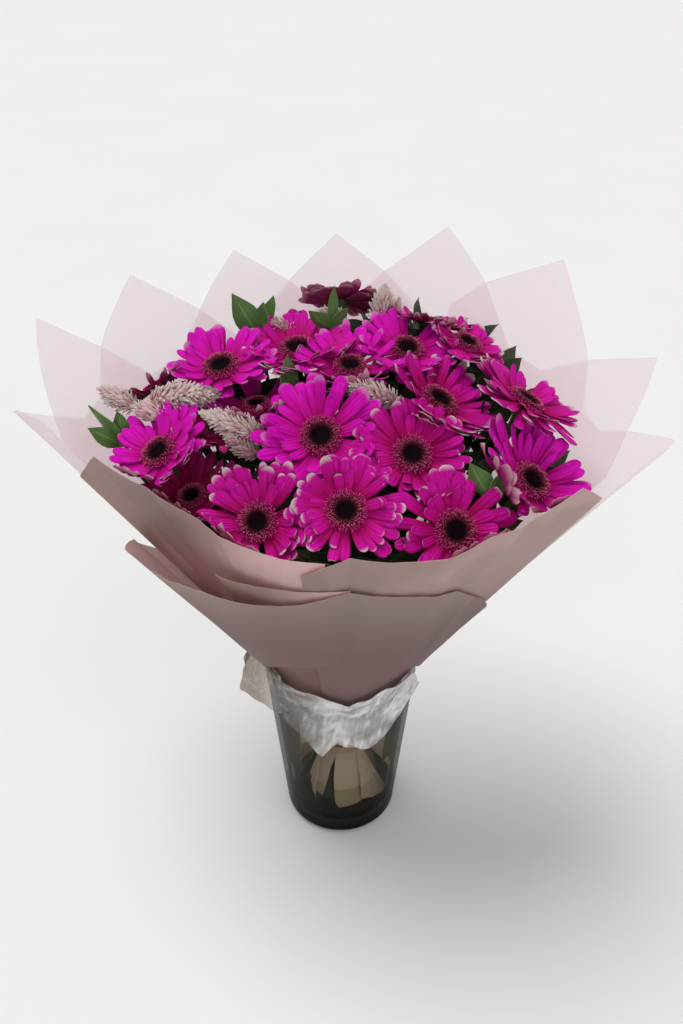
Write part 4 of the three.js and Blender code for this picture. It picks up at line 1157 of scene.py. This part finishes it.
def leaf_shape(item, length, width, lean, turn, seed):
    """A pointed leaf from the foot of its spray, kept out of the heads round it."""
    random = chance(seed)
    heading = leaning(lean, turn)
    across = turned(level(turn), heading, math.radians(-90 + 60 * (next(random) - 0.5)))
    if abs(across[1]) > 0.8:
        across = turned(across, heading, math.radians(55))
    back = unit(np.cross(across, heading))
    f, v = np.linspace(0, 1, 15)[:, None, None], np.linspace(-1, 1, 7)[None, :, None]
    wide = along_curve(LEAF_WIDTHS, f)
    bow = -0.14 * (1 - np.abs(v)) * width * wide - 0.1 * length * f ** 2
    bow = bow + 0.03 * width * np.sin(f * 9 + v * 2)
    target = item.centre + heading * length * f + across * (v * wide * width * LEAF_BREADTH) + back * bow
    start = np.broadcast_to(item.centre - heading, target.shape).reshape(-1, 3)
    ended = walk(item, start, target.reshape(-1, 3) - start, LEAF_WALK, LEAF_GAP)
    moved = smoothed((ended.reshape(target.shape) - target)[None], 2)[0]
    bent = kept_clear(item, (target + moved).reshape(-1, 3), LEAST_GAP).reshape(target.shape)
    return blade(bent, LEAF_THICK, f[..., 0], v[..., 0], next(random))


def make_leaves():
    for number, item in items_of("spray"):
        foot = item.centre
        parts = [tube([foot + [0, 0, -5], foot, foot + [0, 0, 5]], [2.1, 1.9, 1.5], 12)]
        parts += [leaf_shape(item, *leaf, 31 + number * 5 + i) for i, leaf in enumerate(item.leaves)]
        piece(f"{item.name} leaves", joined(parts), LEAVES, "leaf", f"ruscus_{item.name}")


def open_spots():
    """Places for greens under the heads, each with its drop: open ones, a ring and the back gaps.

    Each open place is the one of many that is furthest from every head and from those before it.
    """
    random = np.random.default_rng(31)
    turn, share = random.uniform(0, 2 * math.pi, 1500), np.sqrt(random.uniform(0, 1, 1500))
    spots = around(film(np.degrees(turn), 425) * 0.8 * share, turn, 0)[:, :2]
    taken = [item.centre[:2] - item.facing[:2] * 15 for item in ITEMS]
    near = np.min([np.linalg.norm(spots - place, axis=1) for place in taken], axis=0)
    for _ in range(OPEN_PLACES):
        best = spots[int(near.argmax())]
        yield best, OPEN_DROP
        near = np.minimum(near, np.linalg.norm(spots - best, axis=1))
    for turn in RING_TURNS:
        yield around(film(turn, 385) * 0.80, math.radians(turn), 0)[:2], RING_DROP
    for place in BACK_GAPS:
        yield vec(*place), GAP_DROP


def make_greens():
    """Thin leafy sprigs between the flower stems, in the shade of the heads, with leaves darkened by painted
    shade that darken the gaps between the heads.
    """
    random = np.random.default_rng(77)
    heads = np.array([item.centre for _, item in items_of("head")])
    parts = []
    for number, (place, drop) in enumerate(open_spots()):
        if place[0] > BARE_FROM and BARE_BETWEEN[0] < place[1] < BARE_BETWEEN[1]:
            continue
        near = heads[np.linalg.norm(heads[:, :2] - place, axis=1).argsort()[:2]]
        foot = vec(*place, near[:, 2].min() - drop + random.uniform(-5, 5))
        green = Item("greens", f"greens_{number}", foot, [(foot, FOOT_BALL)])
        neat = math.atan2(foot[1], foot[0])
        knots = [around(12, neat, TIE_HEIGHT + BOUND), foot, foot + [0, 0, 8]]
        if math.hypot(*place) > 100:
            knots.insert(1, around(NECK_R * 0.8, neat, NECK_Z))
        path, thick = eased(np.array(knots), np.linspace(1.5, 0.8, len(knots)), 2)
        parts.append(tube(path, thick, 8, 0.2))
        for k in range(LEAVES_EACH):
            lean, turn = random.uniform(48, 78), k * 360 / LEAVES_EACH + random.uniform(-20, 20)
            length, width = random.uniform(38, 54), random.uniform(17, 23)
            parts.append(leaf_shape(green, length, width, lean, turn, number * 7 + k))
    piece("low greens", joined(parts), SHADED_LOW_LEAVES, "leaf")


# the solid core of a spike, as shares of its radius and length above its root
SPIKE_CORE = [(0.62, 0.2), (0.55, 0.5), (0.25, 0.85)]
SPIKE_SHARE = 0.95            # how far up its length a spike's core and bracts reach


def spike_shape(item, spike, seed):
    """A feathery spike: a core with pointed bracts in a spiral."""
    (root, tip), radius = spike_ends(spike), spike[6]
    long = np.linalg.norm(tip - root)
    bracts = grown(BRACT_SPIKE, count=int(long * radius * 0.5), seed=seed, width=radius * 0.76,
                   height=long * SPIKE_SHARE, size=radius / 12.5, scatter=0.6)
    core = turned_shape([(0, 0), (radius * 0.3, 1), *((radius * r, long * z) for r, z in SPIKE_CORE),
                         (0, long * SPIKE_SHARE)], 12)
    core.marks["along"] = np.zeros(len(core.points))
    whole = joined([bracts, core])
    up = (tip - root) / long
    side = unit(np.cross(up, vec(0.2, 1, 0.1)))
    points = root + whole.points @ np.stack([side, np.cross(up, side), up])
    return whole.at(kept_clear(item, points, LEAST_GAP))


def make_spikes():
    for number, item in items_of("sprig"):
        foot, parts = item.centre, []
        for i, spike in enumerate(item.spikes):
            root, tip = spike_ends(spike)
            stalk = [foot + [0, 0, -4], foot + [0, 0, 3], root + (tip - root) * 0.12]
            parts += [tube(stalk, [2.1, 2.1, 1.7], 10), spike_shape(item, spike, number * 11 + i)]
        piece(f"{item.name} spikes", joined(parts), FEATHERS, "feather", f"celosia_{item.name}")


# ------------------------------------------------------------ stems and binding
OUTERMOST = 190.0             # a head this far out has its stem at the edge of the bundle
BEND_FROM = 125.0             # stems of items further out than this bend in the vase's mouth
TWIST = math.radians(35)      # how far the bound stems turn between their two ends
# short stems that fill the binding: the radius of each ring and how many stand in it
BOUND_RINGS = ((0, 1), (5.2, 6), (10.4, 12), (15.6, 18))
BOUND_STEM = 2.7
FOOT_STEMS = 56               # stems below the binding, besides those of the heads
FACE_REACH, BACK_REACH = 36, 49  # how far these spread, where the photo shows them and elsewhere
TWINE_TURNS, TWINE_RADIUS = 7, 0.72


def stem_lines():
    """The way of each stem: from its head down through the binding, every second one to the floor."""
    for i, item in enumerate(ITEMS):
        neat, wide = math.atan2(item.centre[1], item.centre[0]), math.hypot(item.centre[0], item.centre[1])
        r = (CORE - 4) * min(1, max(0.1, wide / OUTERMOST))
        thick = STEM if item.kind == "head" else THIN_STEM
        if item.kind == "head":
            top = item.centre - item.facing * 0.8
            cup = CALYX * item.size / HEAD
            points = [top, top - item.facing * 4, top - item.facing * 11, top - item.facing * 24 - [0, 0, 4]]
            radii = [cup, cup * 0.86, thick + 0.9, thick]
        else:
            drop = -5 if item.kind == "spray" else -4
            points = [item.centre + [0, 0, drop], item.centre + [0, 0, drop - 14]]
            radii = [thick, thick]
        if wide > BEND_FROM:
            points.append(around(NECK_R, neat, NECK_Z))
        points += [around(r, neat, TIE_HEIGHT + BOUND), around(r, neat + TWIST, TIE_HEIGHT - BOUND)]
        if i % 2 == 0:
            out = 12 + 24 * min(1, wide / OUTERMOST)
            points.append(around(out, neat + TWIST + 1.1, VASE_FLOOR + THIN_STEM + (i % 3) * 2.5))
        yield np.array(points), np.array(radii + [thick] * (len(points) - len(radii)))


def eased(points, radii, rounds=3):
    """A path cut into short steps with its corners rounded."""
    for _ in range(rounds):
        early, late = points[:-1] * 0.75 + points[1:] * 0.25, points[:-1] * 0.25 + points[1:] * 0.75
        first, last = radii[:-1] * 0.75 + radii[1:] * 0.25, radii[:-1] * 0.25 + radii[1:] * 0.75
        points = np.concatenate([points[:1], np.stack([early, late], 1).reshape(-1, 3), points[-1:]])
        radii = np.concatenate([radii[:1], np.stack([first, last], 1).ravel(), radii[-1:]])
    return points, radii


def make_stems():
    random = np.random.default_rng(5)
    parts = []
    for points, radii in stem_lines():
        path, thick = eased(points, radii)
        parts.append(tube(path, thick, 12, random.random()))
    for ring, count in BOUND_RINGS:
        for k in range(count):
            a = 2 * math.pi * k / count + ring
            low, high = around(ring, a - 0.3, TIE_HEIGHT - 18), around(ring, a + 0.3, TIE_HEIGHT + 19)
            parts.append(tube(np.linspace(low, high, 6), np.full(6, BOUND_STEM), 10, random.random()))
    for k in range(FOOT_STEMS):
        a, far = k * GOLDEN_TURN, math.sqrt((k + 0.5) / FOOT_STEMS)
        reach = far * (FACE_REACH if 200 < math.degrees(a + 0.9) % 360 < 350 else BACK_REACH)
        low = around(reach, a + 0.9, VASE_FLOOR + 3 + 5 * random.random())
        high = around(14.5 * far, a, TIE_HEIGHT - 14)
        middle = (low + high) / 2 + around(2.5, a, 0)
        path, thick = eased(np.array([low, middle, high]), np.full(3, 2.2 + 0.8 * random.random()), 2)
        parts.append(tube(path, thick, 10, random.random()))
    piece("stems", joined(parts), STEMS, "stem", "stem_bunch")


def make_tie():
    """Two strands of twine, wound side by side over the gathered film."""
    inner = WAIST + 3 * float(layer_step(TIE_HEIGHT)) + 0.8
    turn = np.linspace(0, TWINE_TURNS * 2 * math.pi, TWINE_TURNS * 48)
    climb = TIE_WIDTH - 1.6
    parts = []
    for start in (0, math.pi):
        radius = inner + 0.8 + 0.25 * np.sin(turn * 1.7 + start)
        z = TIE_HEIGHT - climb / 2 + climb * turn / turn[-1] + 0.3 * np.sin(turn * 0.9 + start)
        path = around(radius, turn + start, z)
        parts.append(tube(path, np.full(len(path), TWINE_RADIUS), 8, start / 4, vec(0, 0, 1)))
    piece("binding", joined(parts), TWINE, "tie", "tie")


# ------------------------------------------------------------ film
# how far the collar's edge stands out from the film behind it, by turn: most at its left corner
STAND_OFF = [(165, 2), (178, 8), (191, 43), (195, 44), (210, 38), (222, 25), (247, 5), (270, 0), (352, 0)]


def collar_stand(turn, z):
    """The collar stands off more towards its upper edge."""
    return 3.5 + along_curve(STAND_OFF, turn) * np.clip((z - 225) / 150, 0, 1.1)


def fold_stand(turn, z):
    """The folded strip lies on the film and stands off at its upper left corner."""
    return 1.7 + 11 * along_curve([(225, 1), (250, 0)], turn) * (z - 300) / 100


# each sheet: its layer, its lowest edge or its tail, its top edge as turns and heights, and what
# else is its own: rose, how much of its inner colour shows outside, and flare, how its tail leans out
SHEETS = {
    "film_back_left_outer": dict(layer=1, low=86, top=[
        (118, 470), (126, 501), (137, 539), (150, 489), (157, 452), (164, 446), (171, 465), (179, 492),
        (181, 486)]),
    "film_back_left_inner": dict(layer=0, low=86, top=[
        (93, 488), (103, 520), (115, 550), (126, 501), (135, 462), (143, 456), (150, 489), (158, 529),
        (171, 465), (175, 446)]),
    "film_back_middle": dict(layer=1, low=86, top=[(71, 500), (79, 528), (91, 561), (103, 520), (111, 492)]),
    "film_back_right_inner": dict(layer=0, low=86, top=[
        (-1, 428), (6, 457), (14, 509), (27, 482), (35, 462), (44, 470), (55, 524), (66, 570), (79, 528),
        (88, 500)]),
    "film_back_right_outer": dict(
        layer=1, flare=0.42, tail=[(-11, 20), (0, 17), (6, 22), (13, 48), (27, 84), (62, 86)], top=[
            (-11, 474), (-7, 486), (6, 457), (13, 440), (20, 446), (27, 482), (42, 553), (55, 524),
            (62, 500)]),
    "film_front_left": dict(
        layer=2, rose=0.85, flare=0.3,
        tail=[(178, 86), (213, 84), (226, 34), (239, 32), (248, 70), (257, 84), (265, 86)],
        top=[(178, 421), (181, 438), (184, 457), (195, 444), (213, 440), (239, 440), (257, 437), (265, 434)]),
    "film_front_right": dict(
        layer=3, rose=0.25, flare=0.32,
        tail=[(257, 56), (262, 30), (268, 24), (300, 27), (314, 44), (327, 84), (346, 86)],
        top=[(257, 420), (265, 432), (273, 442), (302, 443), (315, 447), (327, 450), (336, 472), (346, 440)]),
    "film_fold": dict(layer=3, rose=0.8, low=300, stand=fold_stand, top=[(223, 393), (239, 398), (274, 401)]),
    "film_collar": dict(
        layer=3, stand=collar_stand, top=[
            (166, 310), (175, 334), (181, 359), (186, 369), (189, 372), (195, 373), (210, 375), (222, 378),
            (247, 380), (273, 400), (296, 396), (312, 382), (334, 335), (354, 284)], tail=[
            (166, 226), (180, 225), (195, 235), (220, 252), (240, 275), (266, 289), (297, 291), (307, 270),
            (330, 235), (354, 216)]),
}
FACE_MIDDLE = 265             # the turn round which the film is drawn straight and its folds are flat
SHEET_STEP = 1.3              # how far apart the columns of a sheet's grid are, in degrees
# loose ends: first and last turn, lower end, how much lower one side of it is, how it leans out
FILM_ENDS = {"film end right": (300, 352, 17, 16, 0.40), "film end left": (200, 228, 26, 20, 0.30),
             "film end far left": (160, 202, 40, -18, 1.0), "film end far right": (346, 384, 44, -20, 0.9)}
# folded pieces in the mouth: first and last turn, the layer that holds them, lower end
LININGS = {"film lining left": (158, 226, 2, 50), "film lining right": (322, 378, 3, 66)}


def film_folds(seed, count, low, high, tall):
    """Soft folds that run up the film, each as its turn, drift, half width and height."""
    random = np.random.default_rng(seed)
    turns = np.linspace(low, high, count, endpoint=False) + random.uniform(-4, 4, count)
    return np.stack([turns, random.uniform(-5, 5, count), random.uniform(1.5, 5.5, count),
                     random.uniform(0.25, 1.0, count) * tall], -1)


COMMON_FOLDS = film_folds(seed=12, count=40, low=0, high=360, tall=2.6)


def fold_height(folds, turn, rise):
    """How far folds stand out at a turn and at a share of the way up."""
    height = 0
    for at, drift, width, tall in folds:
        off = np.abs(np.mod(turn - at - drift * rise + 180, 360) - 180) / width
        height = height + tall * np.exp(-off ** 1.4)
    return height * (1 - 0.7 * np.clip(1.6 - np.abs(turn - FACE_MIDDLE) / 55, 0, 1))


def straight_edge(sheet):
    """The top edge as turns and heights, drawn straight from knot to knot."""
    turns, high = np.array(sheet["top"], float).T
    corners = around(film(turns, high), np.radians(turns), high)
    shares = np.linspace(0, 1, 24)[:-1, None]
    legs = [first + (last - first) * shares for first, last in zip(corners[:-1], corners[1:])]
    run = np.concatenate([*legs, corners[-1:]])
    way = np.degrees(np.unwrap(np.arctan2(run[:, 1], run[:, 0])))
    return way + turns[0] - way[0], run[:, 2]


def sheet_heights(low, high):
    """Heights of a sheet's grid points: down in the vase, through its mouth and up, or all alike."""
    def rows(first, last, count):
        return first + (last - first) * np.linspace(0, 1, count)[None]
    low, high = low[:, None], high[:, None]
    if low.max() > TIE_HEIGHT + GATHER:
        return rows(low, high, 22)
    inside = np.broadcast_to(rows(TIE_HEIGHT + GATHER, MOUTH_Z, 9)[:, :-1], (len(low), 8))
    return np.concatenate([rows(low, TIE_HEIGHT + GATHER, 9)[:, :-1], inside, rows(MOUTH_Z, high, 27)], 1)


def sheet_shape(sheet, seed):
    """A sheet of film as a fine grid that follows the spread of the wrap."""
    top, tail = sheet["top"], sheet.get("tail", ())
    first, last = top[0][0], top[-1][0]
    knots = [turn for turn, _ in (*top, *tail)]
    turns = np.unique(np.round(np.concatenate([np.arange(first, last, SHEET_STEP), knots, [last]]), 3))
    turns = turns[(turns >= first) & (turns <= last)]
    turns = turns[np.concatenate([[True], np.diff(turns) > 0.35])]
    high = np.interp(turns, *straight_edge(sheet))
    low = along_curve(tail, turns) if tail else np.full(len(turns), float(sheet["low"]))
    z = sheet_heights(low, high)
    turn = np.broadcast_to(turns[:, None], z.shape)
    radius = film(turn, z) + sheet["layer"] * layer_step(z)
    below = np.maximum(0, TIE_HEIGHT - GATHER - z)
    tucked = WAIST + sheet["layer"] * layer_step(TIE_HEIGHT) + sheet.get("flare", 0) * below
    radius = np.where(z >= TIE_HEIGHT, radius, tucked)
    if "stand" in sheet:
        radius = radius + sheet["stand"](turn, z)
    rise = np.clip((z - MOUTH_Z) / 240, 0, 1.3)
    radius = radius + rise * fold_height(COMMON_FOLDS, turn, rise)
    own = np.random.default_rng(seed).uniform(0, 6, 3)
    ripple = np.sin(turn * 0.31 + own[0] + z * 0.02) + 0.6 * np.sin(turn * 0.83 + own[1] - z * 0.035)
    radius = radius + 0.28 * np.clip(rise * 3, 0, 1) * ripple
    along = np.clip((z - 100) / np.maximum(high[:, None] - 100, 1), 0, 1)
    across = (turn - first) / (last - first)
    return blade(around(radius, np.radians(turn), z), FILM, along, across, sheet.get("rose", 0.0))


def make_film():
    for number, (name, sheet) in enumerate(SHEETS.items()):
        side = "back" if "back" in name else "front"
        look = BACK_FILM if side == "back" else FRONT_FILM
        piece(f"{name} sheet", sheet_shape(sheet, 40 + number), look, f"{side}_film", name)


def make_film_ends():
    """Loose lower ends of the film, that come out under the binding, and folded film in the mouth."""
    u, v = np.linspace(0, 1, 15)[:, None], np.linspace(0, 1, 22)[None]
    for name, (first, last, low, slant, flare) in FILM_ENDS.items():
        z = TIE_HEIGHT + 4 + (low + slant * (1 - u) - TIE_HEIGHT - 4) * v
        radius = WAIST + 3.4 * LAYER_STEPS[0][1] + flare * np.maximum(0, TIE_HEIGHT - GATHER - z)
        radius = np.minimum(radius, wall_inside(z) - 3.5) - 1.4 * v * np.sin(u * 9) ** 2
        turn = np.radians(first + (last - first) * (u * (0.35 + 0.65 * v) + 0.3 * (1 - v)))
        piece(name, blade(around(radius, turn, z), FILM, 1 - v, u, 0.0), FRONT_FILM, "front_film")
    for name, (first, last, layer, low) in LININGS.items():
        high = VASE_HEIGHT - LIP_ROUND - 7 * np.sin(u * 5) ** 2
        z = high + (low + 26 * np.sin(u * 4 + 1) ** 2 - high) * v
        by_wall = wall_inside(z) - 5.2 - 0.9 * np.sin(u * 17 + v * 3) - 0.6 * np.sin(u * 41 - v * 7)
        held = film(200, z) + layer * layer_step(z) + 0.4
        radius = held + (by_wall - held) * np.clip(v * 4, 0, 1)
        turn = np.radians(first + (last - first) * (u + 0.04 * np.sin(v * 5)))
        piece(name, blade(around(radius, turn, z), FILM, 1 - v, u, 0.0), LINING, "front_film")


def wall_inside(z):
    """Radius of the inside of the vase's wall."""
    share = (z - FOOT_ROUND) / (VASE_HEIGHT - LIP_ROUND - FOOT_ROUND)
    return VASE_FOOT + (VASE_MOUTH - VASE_FOOT) * share - VASE_WALL


# ------------------------------------------------------------ clear wrap
WRAP_TURNS = (152, 336)
WRAP_GRID = (185, 64)
# by turn: how far the wrap hangs in the vase, its crest on the film and its free edge outside
WRAP_HANG = [(150, 168), (240, 160), (270, 150), (292, 138), (315, 156), (338, 172)]
WRAP_CREST = [(152, 213), (190, 224), (225, 240), (250, 232), (266, 220), (276, 213), (286, 220), (300, 236),
              (318, 240), (336, 216)]
WRAP_DRAPE = [(152, 205), (172, 190), (190, 178), (212, 184), (228, 184), (246, 166), (258, 150), (268, 168),
              (284, 156), (296, 162), (312, 184), (336, 204)]
FLAP_TURN, FLAP_HALF, FLAP_OUT = 190, 34, 14
# how loose the wrap is along its way, from its end in the vase, 0, to its free edge, 6
LOOSE = [(0, 1.2), (1.6, 0.4), (2.2, 0.2), (3, 0.8), (4, 5.0), (5, 5.0), (6, 6.5)]
OVER_LIP = 2.5                # before this the wrap's crumples stand inwards, past it outwards


def outer_film(turn, z):
    """Radius of the outermost sheet that is gathered in the vase."""
    return film(turn, z) + 3 * layer_step(z)


def wrap_way(turn, at):
    """Radius and height of the wrap at each turn and each place on its way over the lip."""
    level_line = 0 * turn
    hang, crest = along_curve(WRAP_HANG, turn), along_curve(WRAP_CREST, turn)
    flap = np.clip(1 - np.abs(turn - FLAP_TURN) / FLAP_HALF, 0, 1)
    out = np.maximum(outer_film(turn, 222) + 2.6, VASE_MOUTH + 2.5) + 1.2 + flap * FLAP_OUT
    by_lip = np.maximum(outer_film(turn, 209) + 1.6, wall_inside(198) - 0.7)
    snug = np.maximum(outer_film(turn, crest) + 4.2, VASE_MOUTH - 1)
    radii = [wall_inside(hang) - 2.2, wall_inside(180) - 1.2 + level_line,
             wall_inside(196) - 0.8 + level_line, by_lip, snug, out, out + flap * 3]
    heights = [hang, 178 + level_line, 197 + level_line, 208 + level_line, crest, 204 + level_line,
               along_curve(WRAP_DRAPE, turn)]
    return [np.stack([np.interp(at, range(len(line)), knots) for knots in np.stack(line, 1)])
            for line in (radii, heights)]


def crumples(turns, share):
    """Crossing sets of sharp ridges, from 0 to 1."""
    random = np.random.default_rng(8)
    crumple = 0 * turns * share
    for _ in range(9):
        way, period, start = random.uniform(0, math.pi), random.uniform(14, 42), random.uniform(0, 1)
        travel = (turns * 1.35 * math.cos(way) + share * 120 * math.sin(way)) / period + start
        crumple += np.abs(np.mod(travel, 1) - 0.5) * 2 * period / 30
    return (crumple - crumple.min()) / (crumple.max() - crumple.min())


def make_clear_wrap():
    """Crumpled clear wrap: from inside the vase, over the lip, to a free edge and a flap at the left."""
    turn, at = np.linspace(*WRAP_TURNS, WRAP_GRID[0]), np.linspace(0, 6, WRAP_GRID[1])
    r, z = wrap_way(turn, at)
    turns, share = turn[:, None], at[None] / 6
    crumple = crumples(turns, share)
    loose = along_curve(LOOSE, at)[None]
    r = r + crumple * loose * np.where(at < OVER_LIP, -1, 1)
    z = z + (np.roll(crumple, 9, 0) - 0.5) * loose * 0.9
    bent = sum(np.abs(np.gradient(np.gradient(crumple, axis=axis), axis=axis)) for axis in (0, 1))
    across = (turns - WRAP_TURNS[0]) / (WRAP_TURNS[1] - WRAP_TURNS[0])
    shape = blade(around(r, np.radians(turns), z), WRAP, share, across)
    # the tone marks the creases, where the wrap's painted sheen goes
    shape.marks["tone"] = np.tile(np.clip(bent / np.percentile(bent, 97), 0, 1).ravel(), 2)
    piece("crumpled clear wrap", shape, CLEAR_WRAP, "clear_film", "clear_wrap")


# ------------------------------------------------------------ vase and water
FLAT_RING = 20                # radius of a ring of points on the flat underside and floor


def make_vase():
    """A tapered glass with a rounded foot and lip and a thick floor."""
    foot, half_wall, rim = VASE_FOOT - FOOT_ROUND, VASE_WALL / 2, VASE_HEIGHT - LIP_ROUND
    round_foot = [(foot + FOOT_ROUND * math.sin(a), FOOT_ROUND * (1 - math.cos(a)))
                  for a in np.radians(np.linspace(0, 90, 10))]
    lip = [(VASE_MOUTH - half_wall + half_wall * math.cos(a), rim + LIP_ROUND * math.sin(a))
           for a in np.radians(np.linspace(0, 180, 11))]
    outer = [(wall_inside(z) + VASE_WALL, z) for z in np.linspace(20, 190, 10)]
    inner = [(wall_inside(z), z) for z in np.linspace(190, VASE_FLOOR + 12, 10)]
    corner = [(wall_inside(VASE_FLOOR + 6) - 1.2, VASE_FLOOR + 5),
              (wall_inside(VASE_FLOOR + 3) - 3, VASE_FLOOR + 2),
              (wall_inside(VASE_FLOOR) - 7, VASE_FLOOR), (FLAT_RING, VASE_FLOOR)]
    profile = [(0, 0), (FLAT_RING, 0), *round_foot, *outer, *lip, *inner, *corner, (0, VASE_FLOOR)]
    piece("vase", turned_shape(profile, 96), GLASS, "glass", "glass_vase")


make_heads()
make_leaves()
make_greens()
make_spikes()
make_stems()
make_tie()
make_film()
make_film_ends()
make_clear_wrap()
make_vase()
bpy.data.objects["water"].data.materials.clear()
bpy.data.objects["water"].data.materials.append(WATER)
for kept in (petal_shelf, bract_shelf, floret_shelf):
    clear_shelf(kept)


# ------------------------------------------------------------ camera, ground and light
PHOTO_WIDE, PHOTO_HIGH = 683, 1024
FOCAL = 1050.0                # focal length in pixels of the photograph
SENSOR = 36.0
PITCH = math.radians(35)
CAMERA_ACROSS, CAMERA_AWAY, AIM_HEIGHT = 0.93, 972.0, 387.0  # millimetres
GROUND = [(-15, -6, 0), (15, -6, 0), (15, 24, 0), (-15, 24, 0)]
SKY_COLOUR, SKY_LIGHT = (0.97, 0.98, 1.0, 1), 0.36

scene = bpy.context.scene
camera = bpy.data.objects.new("camera", bpy.data.cameras.new("camera"))
scene.collection.objects.link(camera)
camera.data.sensor_width = SENSOR
camera.data.lens = FOCAL / max(PHOTO_WIDE, PHOTO_HIGH) * SENSOR
camera.location = (CAMERA_ACROSS * MM, -CAMERA_AWAY * math.cos(PITCH) * MM,
                   (AIM_HEIGHT + CAMERA_AWAY * math.sin(PITCH)) * MM)
camera.rotation_euler = (math.pi / 2 - PITCH, 0, 0)
scene.camera = camera

ground = bpy.data.objects.new("ground", bpy.data.meshes.new("ground"))
ground.data.from_pydata(GROUND, [], [(0, 1, 2, 3)])
ground.data.materials.append(floor_look())
scene.collection.objects.link(ground)


def sky_lamp(name, way, softness, power):
    """A far soft light that comes from a way."""
    made = bpy.data.objects.new(name, bpy.data.lights.new(name, "SUN"))
    made.data.energy, made.data.angle = power, softness
    made.location = way
    flat = math.hypot(way[0], way[1])
    made.rotation_euler = (math.atan2(flat, way[2]), 0, math.atan2(way[0], -way[1]))
    scene.collection.objects.link(made)


sky_lamp("key", way=(-0.30, 0.20, 1), softness=0.65, power=1.85)
sky_lamp("front fill", way=(0.45, -1, 0.6), softness=1.6, power=1.05)
world = scene.world or bpy.data.worlds.new("world")
scene.world = world
world.use_nodes = True
sky = world.node_tree.nodes["Background"]
sky.inputs["Color"].default_value, sky.inputs["Strength"].default_value = SKY_COLOUR, SKY_LIGHT
scene.view_settings.view_transform = "Standard"
